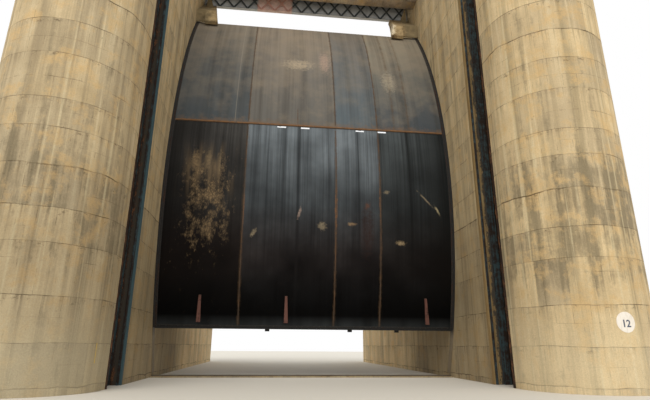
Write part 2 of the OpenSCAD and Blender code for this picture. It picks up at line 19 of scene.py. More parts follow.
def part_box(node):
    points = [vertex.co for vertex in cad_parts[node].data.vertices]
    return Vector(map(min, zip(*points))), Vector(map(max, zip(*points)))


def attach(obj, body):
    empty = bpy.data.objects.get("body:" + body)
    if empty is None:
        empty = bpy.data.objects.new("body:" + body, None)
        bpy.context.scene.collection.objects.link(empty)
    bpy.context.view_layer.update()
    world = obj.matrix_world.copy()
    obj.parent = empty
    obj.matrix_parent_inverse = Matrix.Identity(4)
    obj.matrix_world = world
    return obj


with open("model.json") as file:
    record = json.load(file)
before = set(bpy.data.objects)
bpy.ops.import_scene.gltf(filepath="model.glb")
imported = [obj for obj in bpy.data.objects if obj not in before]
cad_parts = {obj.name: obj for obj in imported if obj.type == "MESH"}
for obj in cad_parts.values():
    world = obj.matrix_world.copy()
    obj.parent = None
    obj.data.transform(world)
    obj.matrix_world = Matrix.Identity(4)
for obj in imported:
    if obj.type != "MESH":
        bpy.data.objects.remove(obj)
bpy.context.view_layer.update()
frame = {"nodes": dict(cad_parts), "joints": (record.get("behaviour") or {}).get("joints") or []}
nodes = frame["nodes"]

# %% [markdown]
# ## The camera
# The picture was taken from in front of the bay, a little left of its middle and 1.6 m
# above its foot. The camera looks up by 17 degrees, which is why the piers lean inwards
# in the frame. Its axes are built from three angles, so each angle can be read and
# changed by itself.

# %% Camera
EYE = Vector((-2.012, -34.35, 1.6))
HEADING = 0.1102
PITCH = 0.2991
ROLL = 0.0067
LENS_MM = 26.18
SENSOR_MM = 36
SEEN_TO = 500

ahead = Vector((math.sin(HEADING) * math.cos(PITCH), math.cos(HEADING) * math.cos(PITCH), math.sin(PITCH)))
level_right = Vector((math.cos(HEADING), -math.sin(HEADING), 0))
level_up = level_right.cross(ahead)
right = math.cos(ROLL) * level_right + math.sin(ROLL) * level_up
up = math.cos(ROLL) * level_up - math.sin(ROLL) * level_right

camera = bpy.data.objects.new("camera", bpy.data.cameras.new("camera"))
bpy.context.scene.collection.objects.link(camera)
camera.data.lens = LENS_MM
camera.data.sensor_width = SENSOR_MM
camera.data.clip_end = SEEN_TO
axes = Matrix((right, up, -ahead)).transposed()
camera.matrix_world = Matrix.Translation(EYE) @ axes.to_4x4()
bpy.context.scene.camera = camera
print("camera looks along", tuple(round(c, 3) for c in ahead))

# %% [markdown]
# ## Colours, sizes and nodes
# Colours are picked as sRGB hex values, as any paint program shows them, but shader
# sockets expect linear light, so one function turns one into the other. A pattern's
# scale counts how often it repeats in a metre, while a maker thinks of how wide a run of
# water or how coarse a grit is, so a second function works the scale out from sizes in
# millimetres.
#
# A third one adds a node, sets its properties, fills or links its sockets, and hands back
# an output, so each line of a material reads as one step of its recipe. A mix of colours
# keeps its result in the node's third output, so that one is handed back for it.

# %% Helpers for nodes
def colour(hex_code):
    """A linear RGBA colour from an sRGB hex code."""
    channels = [int(hex_code[i:i + 2], 16) / 255 for i in (1, 3, 5)]
    linear = [c / 12.92 if c <= 0.04045 else ((c + 0.055) / 1.055) ** 2.4 for c in channels]
    return (*linear, 1.0)


def per_metre(*sizes_mm):
    """How often marks of these sizes in millimetres repeat in a metre: a pattern's scale."""
    scales = tuple(1000 / size for size in sizes_mm)
    return scales if len(scales) > 1 else scales[0]


def add_node(material, kind, inputs=None, out=None, **settings):
    """Adds a shader node and returns one of its outputs."""
    node = material.node_tree.nodes.new("ShaderNode" + kind)
    for name, value in settings.items():
        setattr(node, name, value)
    for socket, value in (inputs or {}).items():
        if isinstance(value, bpy.types.NodeSocket):
            material.node_tree.links.new(value, node.inputs[socket])
        else:
            node.inputs[socket].default_value = colour(value) if isinstance(value, str) else value
    if out is None:
        out = 2 if settings.get("data_type") == "RGBA" else 0
    return node.outputs[out]


print("joint colour", [round(c, 3) for c in colour("#4e402c")], "scale of 2 m blotches", per_metre(2000))

# %% [markdown]
# ## Materials and how they reach the shapes
# Every finish starts as a plain shader with the roughness and gloss of its real
# material. A metal keeps the shader's own IOR, and the rest get a typical one. At the end
# of a recipe its outputs are linked to the shader, and the material is given to the CAD
# shapes by name.

# %% Helpers for materials
def new_material(name, roughness, metallic=0.0, ior=1.5, specular=0.5):
    """A material with its shader's plain numbers set."""
    material = bpy.data.materials.new(name)
    material.use_nodes = True
    shader = material.node_tree.nodes["Principled BSDF"]
    shader.inputs["Roughness"].default_value = roughness
    shader.inputs["Metallic"].default_value = metallic
    if metallic == 0:
        shader.inputs["IOR"].default_value = ior
        shader.inputs["Specular IOR Level"].default_value = specular
    return material, shader


def finish(material, shader, **sockets):
    """Links finished recipes to the shader's sockets."""
    for name, output in sockets.items():
        material.node_tree.links.new(output, shader.inputs[name.replace("_", " ")])
    return material


def dress(material, *names):
    """Gives CAD nodes their material."""
    for name in names:
        mesh = nodes[name].data
        mesh.materials.clear()
        mesh.materials.append(material)


def stretched_marks(material, place, sizes_mm, detail, roughness=0.5):
    """Uneven marks of a size given in millimetres along each axis, such as runs of water."""
    fitted = add_node(material, "Mapping", {0: place, "Scale": per_metre(*sizes_mm)})
    return add_node(material, "TexNoise", {"Vector": fitted, "Scale": 1.0, "Detail": detail,
                                           "Roughness": roughness})


print("helpers ready")

# %% [markdown]
# ## Cast concrete
# The piers were cast in lifts about 1.5 m high against boards, so the surface shows a
# thin dark joint at each lift, faint vertical board marks, and a slightly different tone
# on each panel. Years of water have run down it in long vertical streaks, darker just
# below each joint. The finish is laid on in the order in which the wall got it, and each
# layer is a short function that takes the colour so far and gives the next one.
#
# First the shader has to know where on the wall it is. The pattern is drawn in metres
# around the surface and up it. On a round nose the first of these is the angle times the
# radius, or else the boards would stretch where the surface turns away. Water doesn't
# run on faces that lie flat, so the tilt of the surface tells those apart.

# %% Places on a wall
LIFT = 1.5
BOARD = 1.2
NOSE_R = 2.75
NOSE_Y = -15.2


def read_wall(material, nose_x=None):
    """Where a point is on a wall, and whether the wall stands up or lies flat there."""
    wall = SimpleNamespace(material=material)
    wall.place = add_node(material, "TexCoord", out="Object")
    x = add_node(material, "SeparateXYZ", {0: wall.place})
    wall.y, wall.z = x.node.outputs["Y"], x.node.outputs["Z"]
    sideways = add_node(material, "SeparateXYZ", {0: add_node(material, "NewGeometry", out="Normal")})
    tilt = sideways.node.outputs["Z"]
    above = add_node(material, "MapRange", {"Value": tilt, "From Min": 0.8, "From Max": 0.95})
    below = add_node(material, "MapRange", {"Value": tilt, "From Min": -0.3, "From Max": -0.6})
    wall.lying = add_node(material, "Math", {0: above, 1: below}, operation="MAXIMUM")
    wall.standing = add_node(material, "Math", {0: 1.0, 1: wall.lying}, operation="SUBTRACT")
    if nose_x is None:
        # Along the bay the pattern is measured by y, and on surfaces across it by x
        turned = add_node(material, "Math", {0: sideways}, operation="ABSOLUTE")
        along_bay = add_node(material, "Math", {0: turned, 1: 0.5}, operation="GREATER_THAN")
        around = add_node(material, "Mix", {0: along_bay, 2: x, 3: wall.y}, data_type="FLOAT")
    else:
        over = add_node(material, "Math", {0: x, 1: nose_x}, operation="SUBTRACT")
        along = add_node(material, "Math", {0: wall.y, 1: NOSE_Y}, operation="SUBTRACT")
        angle = add_node(material, "Math", {0: along, 1: over}, operation="ARCTAN2")
        around = add_node(material, "Math", {0: angle, 1: NOSE_R}, operation="MULTIPLY")

    # Lifts are not all of one height, and their joints are not quite level
    heights = add_node(material, "CombineXYZ", {2: wall.z})
    uneven = add_node(material, "TexNoise", {"Vector": heights, "Scale": per_metre(3030), "Detail": 1.0})
    wander = add_node(material, "TexNoise", {"Vector": wall.place, "Scale": per_metre(1430), "Detail": 4.0})
    shifted = add_node(material, "Math", {0: uneven, 1: 2.6, 2: wall.z}, operation="MULTIPLY_ADD")
    wall.raised = add_node(material, "Math", {0: wander, 1: 0.16, 2: shifted}, operation="MULTIPLY_ADD")
    wall.flat = add_node(material, "CombineXYZ", {0: around, 1: wall.raised})
    return wall


print("lifts of", LIFT, "m and boards of", BOARD, "m")

# %% [markdown]
# ### Marks of the forms
# The brick texture is made for such walls. Without an offset it gives a plain grid of
# panels, each with a grey value of its own, and its mortar gives the thin lines between
# them. Three grids lie on each other: panels between the boards, whole lifts, and the
# smaller sheets that lined the forms. The real lines are a few millimetres wide and are
# drawn at 8 to 22 mm, or else they would vanish at this distance.

# %% Marks of the forms
BOARD_LINE = 0.008
SHEET_LINE = 0.013
LIFT_JOINT = 0.022
ONE_LONG_BOARD = 500.0


def form_marks(wall, fresh, aged):
    """Concrete as it left its forms: panels of uneven tone, some of them greyer."""
    material = wall.material
    grid = {"Vector": wall.flat, "Scale": 1.0, "Mortar Smooth": 1.0}
    wall.panels = add_node(material, "TexBrick", {
        **grid, "Color1": (0, 0, 0, 1), "Color2": (1, 1, 1, 1), "Mortar": (0.5, 0.5, 0.5, 1), "Bias": 0.0,
        "Mortar Size": BOARD_LINE, "Brick Width": BOARD, "Row Height": LIFT}, offset=0.0, squash=1.0)
    wall.board_lines = wall.panels.node.outputs["Fac"]
    wall.lifts = add_node(material, "TexBrick", {
        **grid, "Mortar Size": LIFT_JOINT, "Brick Width": ONE_LONG_BOARD, "Row Height": LIFT},
        out="Fac", offset=0.0, squash=1.0)
    wall.sheets = add_node(material, "TexBrick", {
        **grid, "Mortar Size": SHEET_LINE, "Brick Width": BOARD / 2, "Row Height": LIFT / 2},
        out="Fac", offset=0.5, squash=1.0)

    wall.blotches = add_node(material, "TexNoise", {"Vector": wall.place, "Scale": per_metre(2000),
                                                    "Detail": 7.0, "Roughness": 0.66})
    tone = add_node(material, "Mix", {0: 0.2, 2: wall.blotches, 3: wall.panels}, data_type="FLOAT")
    aging = add_node(material, "MapRange", {"Value": tone, "From Min": 0.36, "From Max": 0.64})
    toned = add_node(material, "Mix", {0: aging, 6: fresh, 7: aged}, data_type="RGBA")
    greyer = add_node(material, "MapRange", {"Value": wall.panels, "From Min": 0.55, "From Max": 0.95,
                                             "To Max": 0.3})
    return add_node(material, "Mix", {0: greyer, 6: toned, 7: "#a89e89"}, data_type="RGBA")


print("lift joints drawn", round(LIFT_JOINT * 1000), "mm wide")

# %% [markdown]
# ### Water, growth and ochre
# Water leaves wide runs nearly 800 mm across and fine ones of 130 mm. Both are many
# metres long, so the noise is stretched upwards. Where little water comes by, lime
# lies pale on the wall. Dark growth follows in ragged upright stripes, thickest between
# two heights where they are given, and clean water cuts pale lines through all of it.

# %% Water, growth and ochre
LIME = "#e3d4b0"
CLEAN_WASH = "#dccaa2"
OCHRE = "#d2ae76"
NOT_STAINED = (-1.0, 1.0, 0.0)


def water_runs(wall, base, stain):
    """Wet runs down the wall, and pale lime beside them; on flat faces they become blotches."""
    material = wall.material
    wide = stretched_marks(material, wall.flat, (770, 25000, 1000), 5.0, 0.6)
    wall.fine = stretched_marks(material, wall.flat, (133.3, 7690, 1000), 7.0, 0.72)
    flowing = add_node(material, "Mix", {0: 0.28, 2: wide, 3: wall.fine}, data_type="FLOAT")
    runs = add_node(material, "Mix", {0: wall.lying, 2: flowing, 3: wall.blotches}, data_type="FLOAT")
    wet = add_node(material, "MapRange", {"Value": runs, "From Min": 0.49, "From Max": 0.6, "To Max": 0.68})
    streaked = add_node(material, "Mix", {0: wet, 6: base, 7: stain}, data_type="RGBA")
    lime = add_node(material, "MapRange", {"Value": runs, "From Min": 0.45, "From Max": 0.36, "To Max": 0.5})
    return add_node(material, "Mix", {0: lime, 6: streaked, 7: LIME}, data_type="RGBA")


def dark_growth(wall, base, stained):
    """Growth in ragged stripes; stained is the two heights it likes most, and how much more."""
    material = wall.material
    low, high, weight = stained
    reach = (high - low) / 2
    wall.mould = add_node(material, "TexNoise", {"Vector": wall.place, "Scale": per_metre(909),
                                                 "Detail": 9.0, "Roughness": 0.72})
    stripes = stretched_marks(material, wall.flat, (476, 6250, 1000), 8.0, 0.68)
    upright = add_node(material, "Math", {0: wall.standing, 1: 0.62}, operation="MULTIPLY")
    growth = add_node(material, "Mix", {0: upright, 2: wall.mould, 3: stripes}, data_type="FLOAT")
    by_panel = add_node(material, "Math", {0: wall.panels, 1: 0.05, 2: growth}, operation="MULTIPLY_ADD")
    height_off = add_node(material, "Math", {0: wall.z, 1: (low + high) / 2}, operation="SUBTRACT")
    distance = add_node(material, "Math", {0: height_off}, operation="ABSOLUTE")
    band = add_node(material, "MapRange", {"Value": distance, "From Min": reach, "From Max": reach * 0.6,
                                           "To Max": weight})
    chance = add_node(material, "Math", {0: by_panel, 1: band}, operation="ADD")
    mouldy = add_node(material, "MapRange", {"Value": chance, "From Min": 0.58, "From Max": 0.68,
                                             "To Max": 0.68})
    speckled = add_node(material, "Mix", {0: wall.mould, 6: "#4f4735", 7: "#94866a"}, data_type="RGBA")
    return add_node(material, "Mix", {0: mouldy, 6: base, 7: speckled}, data_type="RGBA")


def washes_and_ochre(wall, base):
    """Lines that clean water has cut, and patches where the sand's ochre shows."""
    material = wall.material
    washes = stretched_marks(material, wall.flat, (238, 18200, 1000), 3.0, 0.55)
    washed = add_node(material, "MapRange", {"Value": washes, "From Min": 0.58, "From Max": 0.66,
                                             "To Max": 0.6})
    cut = add_node(material, "Math", {0: washed, 1: wall.standing}, operation="MULTIPLY")
    rinsed = add_node(material, "Mix", {0: cut, 6: base, 7: CLEAN_WASH}, data_type="RGBA")
    ochre_patch = add_node(material, "MapRange", {"Value": wall.mould, "From Min": 0.49, "From Max": 0.36,
                                                  "To Max": 0.6})
    return add_node(material, "Mix", {0: ochre_patch, 6: rinsed, 7: OCHRE}, data_type="RGBA")


print("lime", LIME, "clean wash", CLEAN_WASH, "ochre", OCHRE)

# %% [markdown]
# ### Joints, drips and pocks
# Joints are where a wall takes in water, so the eye looks for dirt there. How far a
# point lies up its lift is the fraction of its height over the lift's height. Raised to
# a high power, that is large only just below a joint, and it gathers drips and small
# dark pocks there. The joints themselves come and go, as does the outline of a sheet.

# %% Joints, drips and pocks
def joints_and_drips(wall, base):
    """Drips and pocks below each joint, then the joints and form lines in broken pieces."""
    material = wall.material
    step = add_node(material, "Math", {0: wall.raised, 1: LIFT}, operation="DIVIDE")
    up_the_lift = add_node(material, "Math", {0: step}, operation="FRACT")
    near = add_node(material, "Math", {0: up_the_lift, 1: 5.0}, operation="POWER")
    dribble = add_node(material, "MapRange", {"Value": wall.fine, "From Min": 0.5, "From Max": 0.66,
                                              "To Max": 0.6})
    drips = add_node(material, "Math", {0: near, 1: dribble}, operation="MULTIPLY")
    falling = add_node(material, "Math", {0: drips, 1: wall.standing}, operation="MULTIPLY")
    dripped = add_node(material, "Mix", {0: falling, 6: base, 7: "#66563e"}, data_type="RGBA")

    beside = add_node(material, "MapRange", {"Value": near, "From Max": 0.6, "To Max": 0.07})
    pocks = stretched_marks(material, wall.flat, (385, 278, 1000), 8.0, 0.8)
    pock_chance = add_node(material, "Math", {0: pocks, 1: beside}, operation="ADD")
    pitted = add_node(material, "MapRange", {"Value": pock_chance, "From Min": 0.63, "From Max": 0.71,
                                             "To Max": 0.65})
    pocked = add_node(material, "Mix", {0: pitted, 6: dripped, 7: "#54442f"}, data_type="RGBA")

    pieces = stretched_marks(material, wall.flat, (1110, 625, 1000), 7.0, 0.75)
    breaks = add_node(material, "MapRange", {"Value": pieces, "From Min": 0.42, "From Max": 0.6,
                                             "To Min": 0.12, "To Max": 0.9})
    upright_breaks = add_node(material, "Math", {0: breaks, 1: wall.standing}, operation="MULTIPLY")
    joint = add_node(material, "Math", {0: wall.lifts, 1: upright_breaks}, operation="MULTIPLY")
    jointed = add_node(material, "Mix", {0: joint, 6: pocked, 7: "#4e402c"}, data_type="RGBA")
    here = add_node(material, "MapRange", {"Value": pieces, "From Min": 0.48, "From Max": 0.6, "To Max": 0.8})
    outline = add_node(material, "Math", {0: wall.sheets, 1: here}, operation="MULTIPLY")
    outlined = add_node(material, "Mix", {0: outline, 6: jointed, 7: "#66543a"}, data_type="RGBA")
    faint = add_node(material, "Math", {0: wall.board_lines, 1: 0.12}, operation="MULTIPLY")
    return add_node(material, "Mix", {0: faint, 6: outlined, 7: "#5d5342"}, data_type="RGBA")


print("drips reach up to", LIFT, "m below a joint")

# %% [markdown]
# ### The foot, the grit and the shade
# Splashed dust lies pale on the lowest metres. The grit of real sand is 1 to 4 mm,
# which is far too fine for this view, so it is drawn at 45 mm, only to keep the surface
# from looking like card. The walls grow darker towards the foot between the piers, since
# little sky reaches in there, and lighter again past the leaf.

# %% Foot, grit and shade
GROOVE_BACK_Y = -10.3
SPLASH_FADES = (3.6, 1.2)
SHADE_FADES = (4.0, 10.5)
PALE_FOOT = (0.8, 3.8)
PAST_LEAF = (-4.0, 2.0)


def foot_and_shade(wall, base, low_shade, back_shade, foot, tail_light):
    """Dust at the foot, and the grit and shades that scale the colour."""
    material = wall.material
    splash = add_node(material, "MapRange", {"Value": wall.z, "From Min": SPLASH_FADES[0],
                                             "From Max": SPLASH_FADES[1], "To Max": foot})
    footed = add_node(material, "Mix", {0: splash, 6: base, 7: "#c2b596"}, data_type="RGBA")
    wall.grit = add_node(material, "TexNoise", {"Vector": wall.place, "Scale": per_metre(45.5),
                                                "Detail": 4.0, "Roughness": 0.7})
    speckle = add_node(material, "MapRange", {"Value": wall.grit, "From Min": 0.3, "From Max": 0.7,
                                              "To Min": 0.88, "To Max": 1.08})
    lower = add_node(material, "MapRange", {"Value": wall.z, "From Min": SHADE_FADES[0],
                                            "From Max": SHADE_FADES[1], "To Min": low_shade})
    if tail_light is not None:
        past_leaf = add_node(material, "MapRange", {"Value": wall.y, "From Min": PAST_LEAF[0],
                                                    "From Max": PAST_LEAF[1]})
        lower = add_node(material, "Mix", {0: past_leaf, 2: lower, 3: tail_light}, data_type="FLOAT")
    paler = add_node(material, "MapRange", {"Value": wall.z, "From Min": PALE_FOOT[0],
                                            "From Max": PALE_FOOT[1], "To Min": 1.0 + 0.45 * foot})
    behind = add_node(material, "MapRange", {"Value": wall.y, "From Min": GROOVE_BACK_Y - 0.05,
                                             "From Max": GROOVE_BACK_Y + 0.05, "To Min": 1.0,
                                             "To Max": back_shade})
    by_height = add_node(material, "Math", {0: lower, 1: paler}, operation="MULTIPLY")
    shades = add_node(material, "Math", {0: by_height, 1: behind}, operation="MULTIPLY")
    level = add_node(material, "Math", {0: shades, 1: speckle}, operation="MULTIPLY")
    return add_node(material, "Mix", {0: 1.0, 6: footed, 7: level}, data_type="RGBA", blend_type="MULTIPLY")


print("foot dust fades from", SPLASH_FADES[1], "to", SPLASH_FADES[0], "m")

# %% [markdown]
# ### The concrete put together
# Cast concrete is matt and hardly glossy, so its roughness is 0.92 and its gloss is low.
# The layers follow each other, and grit, joints and board lines also give the relief.
# The two noses, the walls and the bridge stand in different light and dirt, so each gets
# its own tones from the same recipe. The corbels were cut back roughly afterwards, and
# have a finish of their own: brown, with a painted highlight in cream where they face the
# bay, and painted shade beside the pier.

# %% The concrete put together
def cast_concrete(name, fresh, aged, stain, nose_x=None, low_shade=1.0, back_shade=1.0,
                  stained=NOT_STAINED, foot=0.0, tail_light=None):
    """Concrete cast in lifts and weathered by water; the pattern follows a round nose where one is given."""
    material, shader = new_material(name, roughness=0.92, specular=0.2)
    wall = read_wall(material, nose_x)
    layer = form_marks(wall, fresh, aged)
    layer = water_runs(wall, layer, stain)
    layer = dark_growth(wall, layer, stained)
    layer = washes_and_ochre(wall, layer)
    layer = joints_and_drips(wall, layer)
    layer = foot_and_shade(wall, layer, low_shade, back_shade, foot, tail_light)
    sunk = add_node(material, "Math", {0: wall.lifts, 1: -0.6, 2: wall.grit}, operation="MULTIPLY_ADD")
    relief = add_node(material, "Math", {0: wall.board_lines, 1: -0.2, 2: sunk}, operation="MULTIPLY_ADD")
    bump = add_node(material, "Bump", {"Strength": 0.55, "Distance": 0.02, "Height": relief})
    return finish(material, shader, Base_Color=layer, Normal=bump)


def broken_concrete(name, lit_cream, brown, shade, inner_x, outer_x):
    """Rough lumps of concrete: brown in the middle, a painted highlight in cream at the bay's side, and
    painted shade beside the pier.
    """
    material, shader = new_material(name, roughness=0.95, specular=0.2)
    place = add_node(material, "TexCoord", out="Object")
    x = add_node(material, "SeparateXYZ", {0: place})
    from_middle = add_node(material, "Math", {0: x}, operation="ABSOLUTE")
    lumps = add_node(material, "TexNoise", {"Vector": place, "Scale": per_metre(625), "Detail": 9.0,
                                            "Roughness": 0.7})
    ragged = add_node(material, "Math", {0: lumps, 1: 1.6, 2: from_middle}, operation="MULTIPLY_ADD")
    # Painted highlight: cream towards the bay, where the face is lit; painted shade beside the pier.
    inwards = add_node(material, "MapRange", {"Value": ragged, "From Min": inner_x + 0.8,
                                              "From Max": inner_x + 1.1})
    outwards = add_node(material, "MapRange", {"Value": ragged, "From Min": outer_x + 0.4,
                                               "From Max": outer_x + 0.9, "To Max": 0.7})
    lumpy = add_node(material, "MapRange", {"Value": lumps, "From Min": 0.4, "From Max": 0.62})
    middle = add_node(material, "Mix", {0: lumpy, 6: brown, 7: "#6d5a40"}, data_type="RGBA")
    cast = add_node(material, "Mix", {0: inwards, 6: lit_cream, 7: middle}, data_type="RGBA")
    shaded = add_node(material, "Mix", {0: outwards, 6: cast, 7: shade}, data_type="RGBA")
    bump = add_node(material, "Bump", {"Strength": 0.8, "Distance": 0.12, "Height": lumps})
    return finish(material, shader, Base_Color=shaded, Normal=bump)


NOSE_X = 10.75
left_nose = cast_concrete("cast_concrete_left_nose", "#d5bf97", "#b8a27c", "#958467", nose_x=-NOSE_X,
                          low_shade=0.64, stained=(3.4, 9.0, 0.06), foot=0.55)
right_nose = cast_concrete("cast_concrete_right_nose", "#dec598", "#c3ab83", "#9b8a69", nose_x=NOSE_X,
                           low_shade=0.92, stained=(3.2, 9.5, 0.115), foot=0.4)
pier_wall = cast_concrete("cast_concrete_pier_wall", "#dcc59a", "#c2ab83", "#9b896b", low_shade=0.62,
                          back_shade=0.93, tail_light=1.3)
pale_concrete = cast_concrete("cast_concrete_pale", "#ecdfc0", "#cfbf9e", "#a39578")
brown_concrete = cast_concrete("cast_concrete_brown", "#c6b59f", "#a59684", "#7b6e60")
rough_concrete = broken_concrete("broken_concrete", "#f0e2c4", "#b59d74", "#75694f", 5.9, 7.1)
dress(left_nose, "left_pier_nose")
dress(right_nose, "right_pier_nose")
dress(pier_wall, "left_pier_body", "left_pier_tail", "right_pier_body", "right_pier_tail",
      "left_trunnion_beam", "right_trunnion_beam", "sill_beam")
dress(rough_concrete, "lattice_corbels")
dress(pale_concrete, "girder_pedestals")
dress(brown_concrete, "bridge_girders", "bridge_deck")
print("six concrete finishes on piers, beams, corbels and bridge")

# %% [markdown]
# ## Where things are on the leaf
# Everything on the leaf is placed by how far across the bay it is and by its angle
# about the trunnion axis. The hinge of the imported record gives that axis, and the skin's
# own box gives the radius, so these numbers follow the CAD.

# %% The leaf's geometry
hinge = next(j for j in frame["joints"] if j["name"] == "leaf_lift")
TRUNNION = Vector(hinge["pos_m"])
SKIN_R = TRUNNION.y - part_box("skin_lower_1")[0].y
SKIN_T = 0.04
LIP = -19.0
SEAM = 9.55
TOP = 36.0


def on_skin(x, degrees, proud=0.0):
    """A point of the skin's upstream face, lifted off it by proud metres."""
    turn = math.radians(degrees)
    reach = SKIN_R + proud
    return Vector((x, TRUNNION.y - reach * math.cos(turn), TRUNNION.z + reach * math.sin(turn)))


print("skin radius", round(SKIN_R, 3), "m about", tuple(round(c, 2) for c in TRUNNION))

# %% [markdown]
# ## The skin plate
# The skin is hot-rolled steel plate, welded up from panels. Mill scale gives the lower
# tier a bluish black; where it faces the sky its colour is painted lighter as a painted
# sheen, and towards the lip it is painted black as painted shade. Grime runs down it in
# long streaks, welds bleed rust beside them, and dried mud clings to one panel. The upper
# tier leans back, so dust has settled on it.
#
# The runs have to follow the curve, so the shader works out its own angle about the
# trunnion, and the angle times the radius is how far along the plate a point lies. Two
# small shapes are needed again and again: a window with soft edges, and a soft line.

# %% Places on the skin
def read_skin(material):
    """Where a point is on the skin: across the bay, along the curve, and on which side of the plate."""
    skin = SimpleNamespace(material=material)
    skin.place = add_node(material, "TexCoord", out="Object")
    skin.x = add_node(material, "SeparateXYZ", {0: skin.place})
    y, z = skin.x.node.outputs["Y"], skin.x.node.outputs["Z"]
    back = add_node(material, "Math", {0: TRUNNION.y, 1: y}, operation="SUBTRACT")
    rise = add_node(material, "Math", {0: z, 1: TRUNNION.z}, operation="SUBTRACT")
    skin.angle = add_node(material, "Math", {0: rise, 1: back}, operation="ARCTAN2")
    skin.along = add_node(material, "Math", {0: skin.angle, 1: SKIN_R}, operation="MULTIPLY")
    skin.flat = add_node(material, "CombineXYZ", {0: skin.x, 1: skin.along})
    radial = add_node(material, "CombineXYZ", {0: back, 1: rise})
    reach = add_node(material, "VectorMath", {0: radial}, out="Value", operation="LENGTH")
    skin.in_front = add_node(material, "Math", {0: reach, 1: SKIN_R - SKIN_T / 2}, operation="GREATER_THAN")
    return skin


def soft_window(material, value, low, high, soft):
    """One inside a range of value and nothing outside, with soft edges."""
    rising = add_node(material, "MapRange", {"Value": value, "From Min": low - soft, "From Max": low + soft})
    falling = add_node(material, "MapRange", {"Value": value, "From Min": high + soft,
                                              "From Max": high - soft})
    return add_node(material, "Math", {0: rising, 1: falling}, operation="MULTIPLY")


def nearest_line(material, value, places, inner, outer):
    """One on the nearest of several lines, falling to nothing at the outer distance."""
    best = None
    for line in places:
        off = add_node(material, "Math", {0: value, 1: line}, operation="SUBTRACT")
        away = add_node(material, "Math", {0: off}, operation="ABSOLUTE")
        near = add_node(material, "MapRange", {"Value": away, "From Min": inner, "From Max": outer,
                                               "To Min": 1.0, "To Max": 0.0})
        best = near if best is None else add_node(material, "Math", {0: best, 1: near}, operation="MAXIMUM")
    return best


print("the skin is", round(math.radians(TOP - LIP) * SKIN_R, 2), "m long along its curve")

# %% [markdown]
# ### Mill scale, grime runs and the painted shade at the foot
# A panel is painted from one tone at its foot to another at its head, not evenly, since
# the sky lights it less and less as it turns down: this is painted light and shade. Beside
# the piers it is painted darker, as painted shade. Grime runs come in two widths: bands
# of 670 mm, and lines of 110 mm, which are finer than that in truth but would not show.
# Faint dark lines lie on the lower tier where the ribs are behind the plate. The lower
# tier's foot is painted black as painted shade, with a thin pale haze along its very edge
# as a painted reflection.

# %% Mill scale, grime runs and the painted shade at the foot
SHELTER_FROM = 5.0
SHELTER_TO = 7.7


def graded_plate(skin, top_tone, low_tone, streak_tone, from_a, to_a, ease, shelter):
    """Bare mill scale, painted from its tone at the foot to the one at the head as painted light, and painted
    darker beside the piers as painted shade.
    """
    material = skin.material
    drift = add_node(material, "TexNoise", {"Vector": skin.place, "Scale": per_metre(2000), "Detail": 4.0})
    # Painted light and shade: the tone goes from the foot's to the head's as the sky lights the plate more.
    skin.height = add_node(material, "MapRange", {
        "Value": skin.angle, "From Min": math.radians(from_a), "From Max": math.radians(to_a)})
    uneven = add_node(material, "MapRange", {"Value": drift, "To Min": -0.3, "To Max": 0.3})
    graded = add_node(material, "Math", {0: skin.height, 1: uneven}, operation="ADD", use_clamp=True)
    eased = add_node(material, "Math", {0: graded, 1: ease}, operation="POWER")
    clean = add_node(material, "Mix", {0: eased, 6: low_tone, 7: top_tone}, data_type="RGBA")
    # Painted shade: beside the piers, which shelter the plate from the sky, the colour is mixed towards the
    # streak tone.
    off_middle = add_node(material, "Math", {0: skin.x}, operation="ABSOLUTE")
    pier_shaded = add_node(material, "MapRange", {"Value": off_middle, "From Min": SHELTER_FROM,
                                                "From Max": SHELTER_TO, "To Max": shelter})
    return add_node(material, "Mix", {0: pier_shaded, 6: clean, 7: streak_tone}, data_type="RGBA")


def grime_runs(skin, base, streak_tone, thin_runs, dark_lines):
    """Broad bands and thin lines of grime, and dark lines where ribs lie behind the plate."""
    material = skin.material
    skin.bands = stretched_marks(material, skin.flat, (667, 20000, 1000), 3.0)
    skin.lines = stretched_marks(material, skin.flat, (111, 9090, 1000), 6.0, 0.65)
    skin.runs = add_node(material, "Mix", {0: thin_runs, 2: skin.bands, 3: skin.lines}, data_type="FLOAT")
    dark = add_node(material, "MapRange", {"Value": skin.runs, "From Min": 0.45, "From Max": 0.64,
                                           "To Max": 0.7})
    streaked = add_node(material, "Mix", {0: dark, 6: base, 7: streak_tone}, data_type="RGBA")
    if dark_lines:
        # Faint dark lines where the ribs lie behind the plate.
        near_rib_line = nearest_line(material, skin.x, dark_lines, 0.02, 0.13)
        faint = add_node(material, "Math", {0: near_rib_line, 1: 0.6}, operation="MULTIPLY")
        streaked = add_node(material, "Mix", {0: faint, 6: streaked, 7: streak_tone}, data_type="RGBA")
    return streaked


def shaded_foot(skin, base):
    """Painted shade that turns the foot black, brownish above it, with a painted reflection as a thin paler
    haze along its very edge.
    """
    material = skin.material
    # Painted shade: the plate goes nearly black towards the lip.
    painted_foot_shade = add_node(material, "MapRange", {"Value": skin.height, "From Min": 0.08, "From Max": 0.26,
                                                "To Min": 0.2})
    sunk = add_node(material, "Mix", {0: 1.0, 6: base, 7: painted_foot_shade}, data_type="RGBA", blend_type="MULTIPLY")
    brownish = soft_window(material, skin.height, 0.16, 0.46, 0.12)
    sunk = add_node(material, "Mix", {0: brownish, 6: sunk, 7: "#ffe2d8"}, data_type="RGBA",
                    blend_type="MULTIPLY")
    # Painted reflection: a thin pale haze along the very edge of the lip.
    edge_reflection = add_node(material, "MapRange", {"Value": skin.height, "From Min": 0.06, "From Max": 0.0,
                                           "To Max": 0.6})
    broken_reflection = add_node(material, "Math", {0: edge_reflection, 1: skin.bands}, operation="MULTIPLY")
    return add_node(material, "Mix", {0: broken_reflection, 6: sunk, 7: "#55595a"}, data_type="RGBA")


